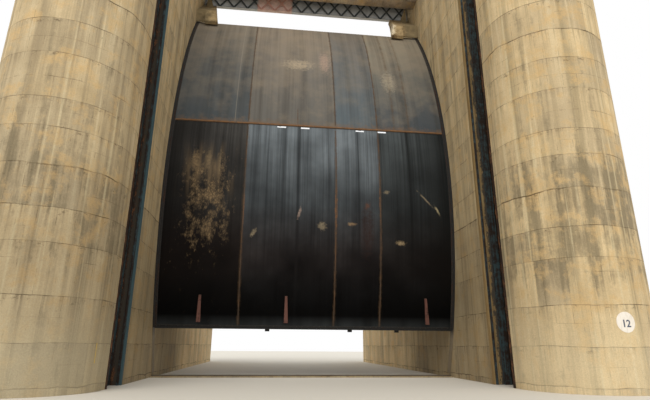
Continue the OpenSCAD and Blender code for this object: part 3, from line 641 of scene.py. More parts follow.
print("the piers shelter the plate from", SHELTER_FROM, "m off the middle")

# %% [markdown]
# ### Dust and rust
# Dust settles in patches of about a metre, and more of it the more a plate leans back.
# Rust starts at the welds, where the mill scale is burnt off, and frays away from them. On
# the upper tier some has crept up from the ledge at the foot, where water stands.

# %% Dust and rust
RUST = "#57432f"
FOOT_RUST = "#78604a"
SETTLED_DUST = "#93846f"


def settled_dust(skin, base, dust, pale_lines):
    """Dust in patches, thicker upwards, and pale lines where rain has run through it."""
    material = skin.material
    skin.patches = add_node(material, "TexNoise", {"Vector": skin.place, "Scale": per_metre(1250),
                                                   "Detail": 8.0, "Roughness": 0.6})
    settled = add_node(material, "Math", {0: skin.height, 1: 0.35, 2: skin.patches}, operation="MULTIPLY_ADD")
    dusty = add_node(material, "MapRange", {"Value": settled, "From Min": 0.52, "From Max": 0.95,
                                            "To Max": dust})
    dusted = add_node(material, "Mix", {0: dusty, 6: base, 7: SETTLED_DUST}, data_type="RGBA")
    if pale_lines:
        washed = nearest_line(material, skin.x, pale_lines, 0.01, 0.07)
        broken_wash = add_node(material, "Math", {0: washed, 1: skin.lines}, operation="MULTIPLY")
        wash = add_node(material, "MapRange", {"Value": broken_wash, "From Min": 0.3, "From Max": 0.62,
                                               "To Max": 0.4})
        dusted = add_node(material, "Mix", {0: wash, 6: dusted, 7: "#a59a88"}, data_type="RGBA")
    return dusted


def weld_rust(skin, base, seams):
    """Rust beside each weld, strongest on the line and frayed by noise."""
    material = skin.material
    skin.fray = add_node(material, "TexNoise", {"Vector": skin.flat, "Scale": per_metre(385),
                                                "Detail": 7.0, "Roughness": 0.75})
    halo = nearest_line(material, skin.x, seams, 0.03, 0.22)
    frayed = add_node(material, "Math", {0: halo, 1: skin.fray}, operation="MULTIPLY")
    bleeding = add_node(material, "MapRange", {"Value": frayed, "From Min": 0.32, "From Max": 0.62,
                                               "To Max": 0.6})
    return add_node(material, "Mix", {0: bleeding, 6: base, 7: RUST}, data_type="RGBA")


def crept_rust(skin, base, from_a, amount):
    """Rust that has crept up from the ledge at the panel's foot."""
    material = skin.material
    foot_line = math.radians(from_a) * SKIN_R
    creeping = add_node(material, "MapRange", {"Value": skin.along, "From Min": foot_line + 0.7,
                                               "From Max": foot_line + 0.05, "To Max": 0.32})
    crept = add_node(material, "Math", {0: creeping, 1: skin.fray}, operation="ADD")
    shows = add_node(material, "MapRange", {"Value": crept, "From Min": 0.62, "From Max": 0.84,
                                            "To Max": amount})
    return add_node(material, "Mix", {0: shows, 6: base, 7: FOOT_RUST}, data_type="RGBA")


print("rust", RUST, "dust", SETTLED_DUST)

# %% [markdown]
# ### Dried mud and scuffs
# Mud dries on a steep plate in flecks of 100 to 300 mm that hang in clumps, and each
# fleck cracks as it shrinks. Chance is added up here: where the patch is, where the clumps
# are and where the flecks are. Only where the sum is high does mud cling, and the
# distance to the edges of Voronoi cells cuts the cracks. Above that it is a thin veil,
# drawn out downwards by water. A scuff is a leaning window with a ragged edge.

# %% Dried mud and scuffs
DRIED_MUD = "#8c7556"
MUD_ACROSS = (-6.9, -4.4)
MUD_ALONG = (-4.3, 1.7)
VEIL_FROM = (-1.0, 0.9)


def dried_mud(skin, base, amount):
    """Thin smears of mud above, and below them a net of flecks split by fine cracks."""
    material = skin.material
    wide = soft_window(material, skin.x, *MUD_ACROSS, 0.6)
    tall = soft_window(material, skin.along, *MUD_ALONG, 1.0)
    patch = add_node(material, "Math", {0: wide, 1: tall}, operation="MULTIPLY")
    thinner = add_node(material, "MapRange", {"Value": skin.along, "From Min": MUD_ALONG[0] - 0.3,
                                              "From Max": VEIL_FROM[0], "To Min": 0.5})
    held = add_node(material, "Math", {0: patch, 1: thinner}, operation="MULTIPLY")
    clumps = stretched_marks(material, skin.flat, (476, 1000, 1000), 6.0, 0.65)
    clumped = add_node(material, "MapRange", {"Value": clumps, "From Min": 0.38, "From Max": 0.62,
                                              "To Min": -0.15, "To Max": 0.09})
    flecks = stretched_marks(material, skin.flat, (166.7, 294, 1000), 9.0, 0.8)
    gathered = add_node(material, "Math", {0: held, 1: 0.3, 2: clumped}, operation="MULTIPLY_ADD")
    chance = add_node(material, "Math", {0: gathered, 1: flecks}, operation="ADD")
    cling = add_node(material, "MapRange", {"Value": chance, "From Min": 0.66, "From Max": 0.93,
                                            "To Max": amount})
    crack_place = add_node(material, "Mapping", {0: skin.flat, "Scale": per_metre(133.3, 238, 1000)})
    cracks = add_node(material, "TexVoronoi", {"Vector": crack_place, "Scale": 1.0},
                      feature="DISTANCE_TO_EDGE")
    whole = add_node(material, "MapRange", {"Value": cracks, "From Min": 0.02, "From Max": 0.16,
                                            "To Min": 0.4})
    split = add_node(material, "Math", {0: cling, 1: whole}, operation="MULTIPLY")
    smears = stretched_marks(material, skin.flat, (385, 3570, 1000), 5.0)
    above = add_node(material, "MapRange", {"Value": skin.along, "From Min": VEIL_FROM[0],
                                            "From Max": VEIL_FROM[1], "To Max": 0.55})
    veil = add_node(material, "MapRange", {"Value": smears, "From Min": 0.48, "From Max": 0.62})
    thin = add_node(material, "Math", {0: above, 1: veil}, operation="MULTIPLY")
    veiled = add_node(material, "Math", {0: thin, 1: patch}, operation="MULTIPLY")
    both = add_node(material, "Math", {0: split, 1: veiled}, operation="MAXIMUM")
    return add_node(material, "Mix", {0: both, 6: base, 7: DRIED_MUD}, data_type="RGBA")


def rubbed_scuffs(skin, base, scuffs):
    """Ragged smears, each with its place across, angle, half width, half height, lean and tone."""
    material = skin.material
    ragged = add_node(material, "TexNoise", {"Vector": skin.flat, "Scale": per_metre(166.7), "Detail": 7.0,
                                             "Roughness": 0.8})
    for x, degrees, half_w, half_h, lean, tone in scuffs:
        level = math.radians(degrees) * SKIN_R
        line = x - lean * level
        leaning = add_node(material, "Math", {0: skin.along, 1: -lean, 2: skin.x}, operation="MULTIPLY_ADD")
        across = soft_window(material, leaning, line - half_w, line + half_w, half_w * 0.7)
        upright = soft_window(material, skin.along, level - half_h, level + half_h, half_h * 0.7)
        smear = add_node(material, "Math", {0: across, 1: upright}, operation="MULTIPLY")
        frayed = add_node(material, "Math", {0: smear, 1: 0.5, 2: ragged}, operation="MULTIPLY_ADD")
        shown = add_node(material, "MapRange", {"Value": frayed, "From Min": 0.78, "From Max": 1.12,
                                                "To Max": 0.85})
        base = add_node(material, "Mix", {0: shown, 6: base, 7: tone}, data_type="RGBA")
    return base


print("mud lies from", MUD_ACROSS[0], "to", MUD_ACROSS[1], "m across the bay")

# %% [markdown]
# ### The plate put together
# Dull mill scale is rough, at 0.5 where it is clean to 0.75 in the grime, and hardly
# glossy. The plate is slightly buckled between its ribs, and its scale is grainy at
# about 30 mm, drawn coarser than it is. Grime, mud and smears lie on the upstream face
# alone: the side behind them is bare plate with a little rust.

# %% The plate put together
def skin_plate(name, top_tone, low_tone, streak_tone, from_a, to_a, seams, dark_lines=(), pale_lines=(),
               dust=0.0, mud=0.0, scuffs=(), ease=2.1, thin_runs=0.5, rusty_foot=0.0, shelter=0.66,
               foot_in_shade=False):
    """Mill-scaled plate between two angles, with rust beside the welds at the given places."""
    material, shader = new_material(name, roughness=0.6, ior=1.5, specular=0.06)
    skin = read_skin(material)
    layer = graded_plate(skin, top_tone, low_tone, streak_tone, from_a, to_a, ease, shelter)
    layer = grime_runs(skin, layer, streak_tone, thin_runs, dark_lines)
    if foot_in_shade:
        layer = shaded_foot(skin, layer)
    layer = settled_dust(skin, layer, dust, pale_lines)
    layer = weld_rust(skin, layer, seams)
    if rusty_foot:
        layer = crept_rust(skin, layer, from_a, rusty_foot)
    if mud:
        layer = dried_mud(skin, layer, mud)
    if scuffs:
        layer = rubbed_scuffs(skin, layer, scuffs)
    bare = add_node(material, "Mix", {0: skin.patches, 6: "#2c2b2a", 7: "#4f3f33"}, data_type="RGBA")
    layer = add_node(material, "Mix", {0: skin.in_front, 6: bare, 7: layer}, data_type="RGBA")

    rough = add_node(material, "MapRange", {"Value": skin.runs, "From Min": 0.3, "From Max": 0.7,
                                            "To Min": 0.5, "To Max": 0.75})
    buckle = add_node(material, "TexNoise", {"Vector": skin.flat, "Scale": per_metre(1110), "Detail": 2.0})
    scale = add_node(material, "TexNoise", {"Vector": skin.flat, "Scale": per_metre(33.3), "Detail": 4.0})
    relief = add_node(material, "Math", {0: scale, 1: 0.06, 2: buckle}, operation="MULTIPLY_ADD")
    bump = add_node(material, "Bump", {"Strength": 0.35, "Distance": 0.03, "Height": relief})
    return finish(material, shader, Base_Color=layer, Roughness=rough, Normal=bump)


print("plate of", round(SKIN_T * 1000), "mm")

# %% [markdown]
# ### The seven panel finishes
# Each panel hangs in its own light and has its own history, so each gets its tones at
# the head, at the foot and in the streaks. Welds, rib lines and scuffs are listed by
# where they are: metres across the bay, and degrees or metres up the curve.

# %% The lower tier
LOWER_SEAMS = (-3.7, 1.35, 3.85)
RIB_LINES = (-0.76, 2.63, 5.6)
PALE_SMEAR = "#93846a"
RED_SMEAR = "#2f1f1a"
WELD_RUST = "#8f6038"
left_scuffs = (
    (-6.43, 3.3, 0.3, 0.8, 0.0, "#8c7556"), (-5.72, 3.5, 0.2, 0.7, 0.0, "#7f6d52"),
    (-5.1, 2.8, 0.07, 1.1, 0.0, "#7f6d52"))
middle_scuffs = (
    (-3.1, -6.5, 0.16, 0.3, 0.5, PALE_SMEAR), (-0.67, -3.6, 0.1, 0.42, 0.25, "#a08a7c"),
    (0.59, -5.3, 0.3, 0.3, 0.0, PALE_SMEAR), (2.23, -4.95, 0.3, 0.13, 0.0, "#957a5a"),
    (3.1, -5.6, 0.5, 1.9, 0.0, RED_SMEAR), (3.1, -2.3, 0.2, 0.25, 0.0, "#5f4234"),
    (1.35, -2.6, 0.08, 1.6, 0.0, WELD_RUST), (3.85, -1.6, 0.07, 1.3, 0.0, WELD_RUST),
    (-3.7, -3.6, 0.07, 1.5, 0.0, WELD_RUST))
right_scuffs = (
    (4.96, -7.35, 0.34, 0.16, -0.3, "#a8926f"), (6.45, -1.1, 0.09, 0.55, -0.9, PALE_SMEAR),
    (7.1, -2.6, 0.09, 0.35, -0.5, "#a99c7a"), (4.2, -0.2, 0.2, 0.14, 0.3, PALE_SMEAR))
lower = {"from_a": LIP, "to_a": SEAM, "seams": LOWER_SEAMS, "foot_in_shade": True}
dark_panel = skin_plate("mill_scale_dark_panel", "#474542", "#060505", "#131211", mud=0.85,
                        scuffs=left_scuffs, **lower)
# Its lighter blue-grey head is partly the mill scale's own tone and partly a painted sheen.
blue_sheen_panel = skin_plate("mill_scale_blue_panel", "#757c80", "#060505", "#191a1b", dark_lines=RIB_LINES,
                        scuffs=middle_scuffs, ease=2.35, **lower)
right_panel = skin_plate("mill_scale_right_panel", "#4d5253", "#060505", "#111211", dark_lines=RIB_LINES,
                         scuffs=right_scuffs, ease=1.9, shelter=0.75, **lower)
dress(dark_panel, "skin_lower_1")
dress(blue_sheen_panel, "skin_lower_2", "skin_lower_3")
dress(right_panel, "skin_lower_4")
print("lower tier has", len(left_scuffs + middle_scuffs + right_scuffs), "scuffs")

# %% The upper tier
UPPER_SEAMS = (-3.7, 1.35, 3.85, 4.9, 5.8)
WASHED_LINE = -4.48
dusty_scuffs = (
    (-0.85, 22.9, 1.2, 0.7, 0.0, "#b8a68a"), (0.85, 24.0, 0.45, 1.4, 0.0, "#ae9482"),
    (-0.87, 11.6, 0.05, 0.9, 0.0, "#5c4534"))
upper = {"from_a": SEAM, "to_a": TOP, "seams": UPPER_SEAMS}
dusty_left = skin_plate("mill_scale_dusty_left", "#7f786c", "#4b5154", "#434341", pale_lines=(WASHED_LINE,),
                        dust=0.5, ease=1.15, thin_runs=0.25, rusty_foot=0.55, shelter=0.15, **upper)
dusty_middle = skin_plate("mill_scale_dusty_middle", "#8b8072", "#68655f", "#524e48", dust=0.65, ease=1.2,
                          thin_runs=0.35, rusty_foot=0.55, scuffs=dusty_scuffs, **upper)
dusty_grey = skin_plate("mill_scale_dusty_grey", "#716c65", "#5c6468", "#454644", dust=0.42, ease=1.3,
                        thin_runs=0.25, rusty_foot=0.6, **upper)
dusty_right = skin_plate("mill_scale_dusty_right", "#8e8674", "#464c51", "#41413f", dust=0.55, ease=0.95,
                         thin_runs=0.25, rusty_foot=0.55, shelter=0.15,
                         scuffs=((4.9, 20.0, 0.6, 1.3, 0.0, "#a39781"),), **upper)
dress(dusty_left, "skin_upper_1")
dress(dusty_middle, "skin_upper_2")
dress(dusty_grey, "skin_upper_3")
dress(dusty_right, "skin_upper_4")
print("skin panels dressed in two tiers")

# %% [markdown]
# ## Structural steel
# The rest of the steel is paint over rolled sections: dark where it is sheltered, with
# rust showing through along broken patches and dust on every face that looks up. One
# recipe serves them all. It takes the paint, the rust, how much of each there is, and
# how wide and long the runs are in millimetres. Old paint is matt, at 0.6, while a
# turned pin is bare metal at 0.3.

# %% Weathered steel
STEEL_DUST = "#8a7d69"
DEEP_RUST = "#2e2019"
SPLASHED_MUD = "#85755a"
SPLASH_H = 0.6


def weathered_steel(name, paint, rust, rusted=0.4, dust=0.3, roughness=0.6, runs=(200, 200, 2500),
                    metallic=0.0, mud_line=None):
    """Painted or bare structural steel with rust in runs, dust on upward faces and mud below a height."""
    material, shader = new_material(name, roughness=roughness, metallic=metallic, ior=1.5, specular=0.3)
    place = add_node(material, "TexCoord", out="Object")
    flow = stretched_marks(material, place, runs, 7.0, 0.7)
    spots = add_node(material, "TexNoise", {"Vector": place, "Scale": per_metre(286), "Detail": 8.0,
                                            "Roughness": 0.7})
    mixed = add_node(material, "Mix", {0: 0.45, 2: flow, 3: spots}, data_type="FLOAT")
    edge = 0.66 - 0.3 * rusted
    broken = add_node(material, "MapRange", {"Value": mixed, "From Min": edge - 0.04,
                                             "From Max": edge + 0.07})
    tone = add_node(material, "MapRange", {"Value": flow, "From Min": 0.3, "From Max": 0.7, "To Min": 0.75,
                                           "To Max": 1.2})
    painted = add_node(material, "Mix", {0: 1.0, 6: paint, 7: tone}, data_type="RGBA", blend_type="MULTIPLY")
    rusty = add_node(material, "Mix", {0: spots, 6: rust, 7: DEEP_RUST}, data_type="RGBA")
    steel = add_node(material, "Mix", {0: broken, 6: painted, 7: rusty}, data_type="RGBA")
    facing = add_node(material, "NewGeometry", out="Normal")
    upward = add_node(material, "SeparateXYZ", {0: facing}, out="Z")
    lying = add_node(material, "MapRange", {"Value": upward, "From Min": 0.3, "From Max": 0.95,
                                            "To Max": dust})
    dusted = add_node(material, "Mix", {0: lying, 6: steel, 7: STEEL_DUST}, data_type="RGBA")
    if mud_line is not None:
        height = add_node(material, "SeparateXYZ", {0: place}, out="Z")
        splashed = add_node(material, "MapRange", {"Value": height, "From Min": mud_line,
                                                   "From Max": mud_line - SPLASH_H, "To Max": 0.85})
        dusted = add_node(material, "Mix", {0: splashed, 6: dusted, 7: SPLASHED_MUD}, data_type="RGBA")
    rough = add_node(material, "MapRange", {"Value": broken, "To Min": roughness, "To Max": 0.9})
    bump = add_node(material, "Bump", {"Strength": 0.3, "Distance": 0.008, "Height": mixed})
    return finish(material, shader, Base_Color=dusted, Roughness=rough, Normal=bump)


girder_paint = weathered_steel("grey_paint_on_girders", "#4c4a47", "#5f4130", rusted=0.3)
arm_paint = weathered_steel("grey_paint_on_arms", "#55534f", "#5f4130", rusted=0.25)
rib_steel = weathered_steel("bare_ribs", "#3b3834", "#57402f", rusted=0.6)
cast_steel = weathered_steel("cast_steel_trunnion", "#3e4143", "#54402f", rusted=0.2, roughness=0.5)
pin_steel = weathered_steel("turned_steel_pin", "#8f9091", "#6b5a48", rusted=0.05, roughness=0.3,
                            metallic=1.0)
seal_plate_steel = weathered_steel("seal_plate_steel", "#1e1d1f", "#33271f", rusted=0.5,
                                   runs=(38.5, 38.5, 2860), mud_line=2.6)
track_steel = weathered_steel("track_steel", "#3c5257", "#2c231c", rusted=0.66, runs=(45.5, 45.5, 3330))
ledge_steel = weathered_steel("rusty_ledge", "#5a4a3a", "#a3764c", rusted=0.7, runs=(333, 166.7, 166.7))
sill_steel = weathered_steel("sill_plate_steel", "#45413c", "#5d4836", rusted=0.6, dust=0.7)
bar_steel = weathered_steel("primed_lip_bars", "#6b473d", "#3a2620", rusted=0.4)
black_steel = weathered_steel("black_lugs", "#1f1e1d", "#3d2c22", rusted=0.3)
dress(girder_paint, "bottom_girder", "middle_girder", "top_girder", "hoist_lugs")
dress(arm_paint, "bottom_arms", "middle_arms", "top_arms", "arm_bracing", "girder_bracing")
dress(rib_steel, "lower_ribs", "upper_ribs")
dress(cast_steel, "left_hub", "right_hub", "left_trunnion_bracket", "right_trunnion_bracket", "side_rollers")
dress(pin_steel, "trunnion_pins")
dress(seal_plate_steel, "left_seal_plate", "right_seal_plate")
dress(track_steel, "groove_track_rails")
dress(ledge_steel, "seam_ledge")
dress(sill_steel, "sill_plate")
dress(bar_steel, "lip_bars")
dress(black_steel, "lip_lugs", "lip_plate")
print("steel finishes done")

# %% [markdown]
# ## Steel in the grooves
# Each groove is lined with plate that has never been painted. Beside the pier's face the
# right one is a loose ochre rust and the left one a worn grey-blue. Deeper in, both are
# painted nearly black as painted shade of the recess, with spots of rust, and so is the
# side that never sees the sun, as painted shade. The edges between them wander. The
# material works out how deep in the groove a point is from how far it lies from the pier's
# face. Loose rust has no gloss at all.

# %% Groove lining
BAY_FACE = 8.0
GROOVE_Y = -13.75
LEFT_BAND = 0.13
RIGHT_BAND = 0.3


def rusted_lining(name, grey, ochre, cool, shade_black):
    """Unpainted plate: ochre near the pier's face at the right, grey-blue at the left, and painted shade,
    nearly black with rust spots, deeper inside and on the side away from the sun.
    """
    material, shader = new_material(name, roughness=0.85, specular=0.2)
    place = add_node(material, "TexCoord", out="Object")
    x = add_node(material, "SeparateXYZ", {0: place})
    y = x.node.outputs["Y"]
    out_from_middle = add_node(material, "Math", {0: x}, operation="ABSOLUTE")
    depth = add_node(material, "Math", {0: out_from_middle, 1: BAY_FACE}, operation="SUBTRACT")
    runs = stretched_marks(material, place, (41.7, 41.7, 2000), 7.0, 0.72)
    flakes = stretched_marks(material, place, (200, 200, 455), 9.0, 0.78)
    wander = add_node(material, "MapRange", {"Value": flakes, "From Min": 0.3, "From Max": 0.7,
                                             "To Min": -0.17, "To Max": 0.17})
    frayed = add_node(material, "Math", {0: depth, 1: wander}, operation="ADD")
    on_right = add_node(material, "Math", {0: x, 1: 0.0}, operation="GREATER_THAN")
    limit = add_node(material, "Mix", {0: on_right, 2: LEFT_BAND, 3: RIGHT_BAND}, data_type="FLOAT")
    beyond = add_node(material, "Math", {0: frayed, 1: limit}, operation="SUBTRACT")
    first = add_node(material, "MapRange", {"Value": beyond, "From Min": -0.03, "From Max": 0.03})
    # Painted shade of the recess: deeper in the groove the plate turns nearly black.
    recess_mask = add_node(material, "MapRange", {"Value": beyond, "From Min": 0.17, "From Max": 0.25})
    pale_flecks = add_node(material, "MapRange", {"Value": runs, "From Min": 0.5, "From Max": 0.64})
    ochres = add_node(material, "Mix", {0: pale_flecks, 6: ochre, 7: "#a8946c"}, data_type="RGBA")
    outer = add_node(material, "Mix", {0: on_right, 6: cool, 7: ochres}, data_type="RGBA")
    toned = add_node(material, "Mix", {0: first, 6: outer, 7: grey}, data_type="RGBA")
    rust_spots = add_node(material, "MapRange", {"Value": flakes, "From Min": 0.52, "From Max": 0.62,
                                                 "To Max": 0.8})
    spotted = add_node(material, "Mix", {0: rust_spots, 6: shade_black, 7: "#8a5c3c"}, data_type="RGBA")
    shaded_side = add_node(material, "MapRange", {"Value": y, "From Min": GROOVE_Y - 0.6,
                                                  "From Max": GROOVE_Y - 0.8})
    # The recess and the side away from the sun both get the painted shade, with rust spots on it.
    darkest = add_node(material, "Math", {0: recess_mask, 1: shaded_side}, operation="MAXIMUM")
    shaded_black = add_node(material, "Mix", {0: darkest, 6: toned, 7: spotted}, data_type="RGBA")
    streaks = add_node(material, "MapRange", {"Value": runs, "From Min": 0.54, "From Max": 0.7,
                                              "To Max": 0.5})
    fading = add_node(material, "Math", {0: streaks, 1: first}, operation="MULTIPLY")
    streaked = add_node(material, "Mix", {0: fading, 6: shaded_black, 7: "#241b15"}, data_type="RGBA")
    bump = add_node(material, "Bump", {"Strength": 0.4, "Distance": 0.01, "Height": flakes})
    return finish(material, shader, Base_Color=streaked, Normal=bump)


dress(rusted_lining("rusted_groove_lining", "#4a443b", "#8a7048", "#455a5e", "#33271f"), "groove_edge_angles")
print("outer band", LEFT_BAND, "m wide at the left and", RIGHT_BAND, "m at the right")

# %% [markdown]
# ## The lattice girder
# The crossed bars are dark paint. The plate behind them stands in the deck's shade and is
# painted pale grey as painted light, lighter still near the bottom where light comes up.
# One stretch still shows the pink of its red-oxide primer, painted paler as painted light
# as well. All of it is found by place: how far forward, how high, and how far across the
# bay. The upstream side carries the painted light, and the side behind keeps the paint's
# own mid grey.

# %% Lattice paint
PRIMER_FROM = -3.94
PRIMER_TO = -1.27
lattice_low, lattice_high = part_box("lattice_chords")
BAR_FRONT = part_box("lattice_webs")[0].y
BAR_BACK = (BAR_FRONT + 0.026, BAR_FRONT + 0.034)


def lattice_paint(name, dark, lit_low, lit_high, lit_primer, lit_primed_dark, behind_tint):
    """Dark bars in front, the plate behind them painted pale as painted light, with a stretch of bare primer
    painted pale too.
    """
    material, shader = new_material(name, roughness=0.7, specular=0.3)
    place = add_node(material, "TexCoord", out="Object")
    x = add_node(material, "SeparateXYZ", {0: place})
    y, z = x.node.outputs["Y"], x.node.outputs["Z"]
    grime = add_node(material, "TexNoise", {"Vector": place, "Scale": per_metre(417), "Detail": 7.0,
                                            "Roughness": 0.7})
    tone = add_node(material, "MapRange", {"Value": grime, "From Min": 0.3, "From Max": 0.7, "To Min": 0.8,
                                           "To Max": 1.2})
    # Painted light: the plate is lighter towards the bottom, where light comes up from below.
    height = add_node(material, "MapRange", {"Value": z, "From Min": lattice_low.z,
                                             "From Max": lattice_high.z})
    lit_plate = add_node(material, "Mix", {0: height, 6: lit_low, 7: lit_high}, data_type="RGBA")
    behind = add_node(material, "MapRange", {"Value": y, "From Min": BAR_BACK[0], "From Max": BAR_BACK[1]})
    painted = add_node(material, "Mix", {0: behind, 6: dark, 7: lit_plate}, data_type="RGBA")
    bare = add_node(material, "Mix", {0: behind, 6: lit_primed_dark, 7: lit_primer}, data_type="RGBA")
    stretch = soft_window(material, x, PRIMER_FROM, PRIMER_TO, 0.06)
    mostly = add_node(material, "Math", {0: stretch, 1: 0.85}, operation="MULTIPLY")
    primed = add_node(material, "Mix", {0: mostly, 6: painted, 7: bare}, data_type="RGBA")
    worn = add_node(material, "Mix", {0: 1.0, 6: primed, 7: tone}, data_type="RGBA", blend_type="MULTIPLY")
    # The side facing downstream is tinted back to the paint's own mid grey, without the painted light.
    facing = add_node(material, "NewGeometry", out="Normal")
    downstream = add_node(material, "SeparateXYZ", {0: facing}, out="Y")
    behind_side = add_node(material, "MapRange", {"Value": downstream, "From Min": 0.2, "From Max": 0.6})
    tinted = add_node(material, "Mix", {0: behind_side, 6: worn, 7: behind_tint}, data_type="RGBA",
                      blend_type="MULTIPLY")
    bump = add_node(material, "Bump", {"Strength": 0.2, "Distance": 0.004, "Height": grime})
    return finish(material, shader, Base_Color=tinted, Normal=bump)


dress(lattice_paint("lit_lattice_paint", "#454b4e", "#d8dbde", "#a0a4a7", "#fbd9cd", "#e0a898", "#a9b0b4"),
      "lattice_chords", "lattice_webs")
print("lattice bottom at", round(lattice_low.z, 2), "m")

# %% [markdown]
# ## Rubber seals
# Strips of moulded rubber close the gap to the piers and to the sill. Old rubber is a
# matt black that has gone slightly grey with dust, in clouds of a hand's width.

# %% Rubber
def moulded_rubber(name, black, dusty):
    """Weathered black rubber."""
    material, shader = new_material(name, roughness=0.75, ior=1.52)
    place = add_node(material, "TexCoord", out="Object")
    bloom = add_node(material, "TexNoise", {"Vector": place, "Scale": per_metre(166.7), "Detail": 6.0})
    grey = add_node(material, "MapRange", {"Value": bloom, "From Min": 0.35, "From Max": 0.75})
    tone = add_node(material, "Mix", {0: grey, 6: black, 7: dusty}, data_type="RGBA")
    bump = add_node(material, "Bump", {"Strength": 0.2, "Distance": 0.003, "Height": bloom})
    return finish(material, shader, Base_Color=tone, Normal=bump)


dress(moulded_rubber("moulded_rubber_seal", "#131211", "#2c2926"), "side_seals", "bottom_seal")
print("seals done")

# %% [markdown]
# ## Small pieces and how they are made
# Welds, bolts, bars and signs are too small for the CAD file, but they catch the light
# and tell the eye how big the gate is. Each kind is one joined mesh. Two small functions
# do nearly all of it: one turns a profile into a round or six-sided body, and one draws
# a closed outline along a path. Each finished piece rides on the body it is fixed to.

# %% Helpers for pieces
ACROSS = Vector((1, 0, 0))
UPRIGHT = Vector((0, 0, 1))


def add_piece(name, bm, material, body):
    """Turns a finished bmesh into a piece that rides on a body."""
    bmesh.ops.recalc_face_normals(bm, faces=bm.faces)
    mesh = bpy.data.meshes.new(name)
    bm.to_mesh(mesh)
    bm.free()
    mesh.materials.append(material)
    piece = bpy.data.objects.new(name, mesh)
    bpy.context.scene.collection.objects.link(piece)
    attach(piece, body)
    print(name, len(mesh.polygons), "faces on", body)
    return piece


def frame_at(place, outward, upward):
    """A matrix with Z along outward and Y near upward."""
    z_axis = outward.normalized()
    x_axis = upward.cross(z_axis).normalized()
    y_axis = z_axis.cross(x_axis)
    turned = Matrix((x_axis, y_axis, z_axis)).transposed().to_4x4()
    return Matrix.Translation(place) @ turned


def skin_frame(x, degrees, proud=0.0):
    """The matrix of a place on the skin, its Z pointing upstream off the plate."""
    outward = on_skin(x, degrees, 1.0) - on_skin(x, degrees, 0.0)
    return frame_at(on_skin(x, degrees, proud), outward, ACROSS)


def draw_along(bm, rings):
    """A closed body through rings of points, with its two ends capped."""
    made = [[bm.verts.new(point) for point in ring] for ring in rings]
    count = len(made[0])
    for low, high in zip(made, made[1:]):
        for k in range(count):
            bm.faces.new((low[k], low[(k + 1) % count], high[(k + 1) % count], high[k]))
    bm.faces.new(made[0][::-1])
    bm.faces.new(made[-1])


def turn_profile(bm, matrix, profile, sides):
    """A closed body turned from (radius, height) points, its axis along the matrix's Z."""
    turns = [2 * math.pi * k / sides for k in range(sides)]
    draw_along(bm, [[matrix @ Vector((radius * math.cos(t), radius * math.sin(t), height)) for t in turns]
                    for radius, height in profile])


def add_bolt(bm, matrix, across):
    """A washer and a chamfered six-sided head, sized from the width across the head."""
    r = across / math.sqrt(3)
    turn_profile(bm, matrix, ((r * 1.25, 0.0), (r * 1.25, across * 0.1)), 12)
    head = ((r, across * 0.1), (r, across * 0.6), (r * 0.86, across * 0.68))
    turn_profile(bm, matrix, head, 6)


print("piece helpers ready")

# %% [markdown]
# ## Weld beads
# The panels of the skin were joined on site by hand, in many short runs, so the beads
# are uneven in width and height. Each is a low arched strip, and its rings vary a little
# with a seeded draw, so that every run of the script gives the same bead.

# %% Weld beads
BEAD_W = 0.045
BEAD_H = 0.009
BEAD_STEP = 0.16
BEAD_SHAPE = ((-1.0, -0.15), (-0.6, 0.75), (0.0, 1.0), (0.6, 0.75), (1.0, -0.15))
draw = random.Random(7)


def bead_ring(middle, outward):
    """The arched outline of a bead, a little different at each place."""
    half_w = BEAD_W / 2 * draw.uniform(0.75, 1.2)
    height = BEAD_H * draw.uniform(0.7, 1.25)
    return [middle + ACROSS * (half_w * u) + outward * (height * v) for u, v in BEAD_SHAPE]


def upright_bead(bm, x, from_a, to_a):
    """A bead down the curve of the skin at one place across the bay."""
    steps = round(math.radians(to_a - from_a) * SKIN_R / BEAD_STEP)
    rings = []
    for k in range(steps + 1):
        here = skin_frame(x + draw.uniform(-0.003, 0.003), from_a + (to_a - from_a) * k / steps)
        rings.append(bead_ring(here.translation, here.col[2].to_3d()))
    draw_along(bm, rings)


weld_steel = weathered_steel("weld_bead_steel", "#443a30", "#805c3c", rusted=0.5, roughness=0.75,
                             runs=(200, 200, 1250))
beads = bmesh.new()
for seam in LOWER_SEAMS:
    upright_bead(beads, seam, LIP + 0.2, SEAM - 0.35)
for seam in UPPER_SEAMS[:3]:
    upright_bead(beads, seam, SEAM + 0.6, TOP - 0.05)
add_piece("skin_weld_beads", beads, weld_steel, "leaf")

# %% [markdown]
# ## Clamp bars and their bolts
# The side seals and the bar seal below the lip are held by flat bars, with a bolt every
# 300 mm. The bars follow the skin's curve, so the side ones are drawn through rings
# placed by angle, and the bolts stand square to the plate at each place.

# %% Side clamps
CLAMP_PITCH = 0.3
CLAMP_BOLT = 0.046
SEAL_FLANGE = 0.025
SIDE_BAR = (0.045, 0.014)
SIDE_BAR_IN = 0.07
CURVE_STEPS = 110
LEAF_X = -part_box("skin_lower_1")[0].x


def bar_outline(middle, sideways, outward, half_w, thick):
    """The four corners of a flat bar that lies on a surface."""
    corners = ((-half_w, 0.0), (half_w, 0.0), (half_w, thick), (-half_w, thick))
    return [middle + sideways * u + outward * v for u, v in corners]


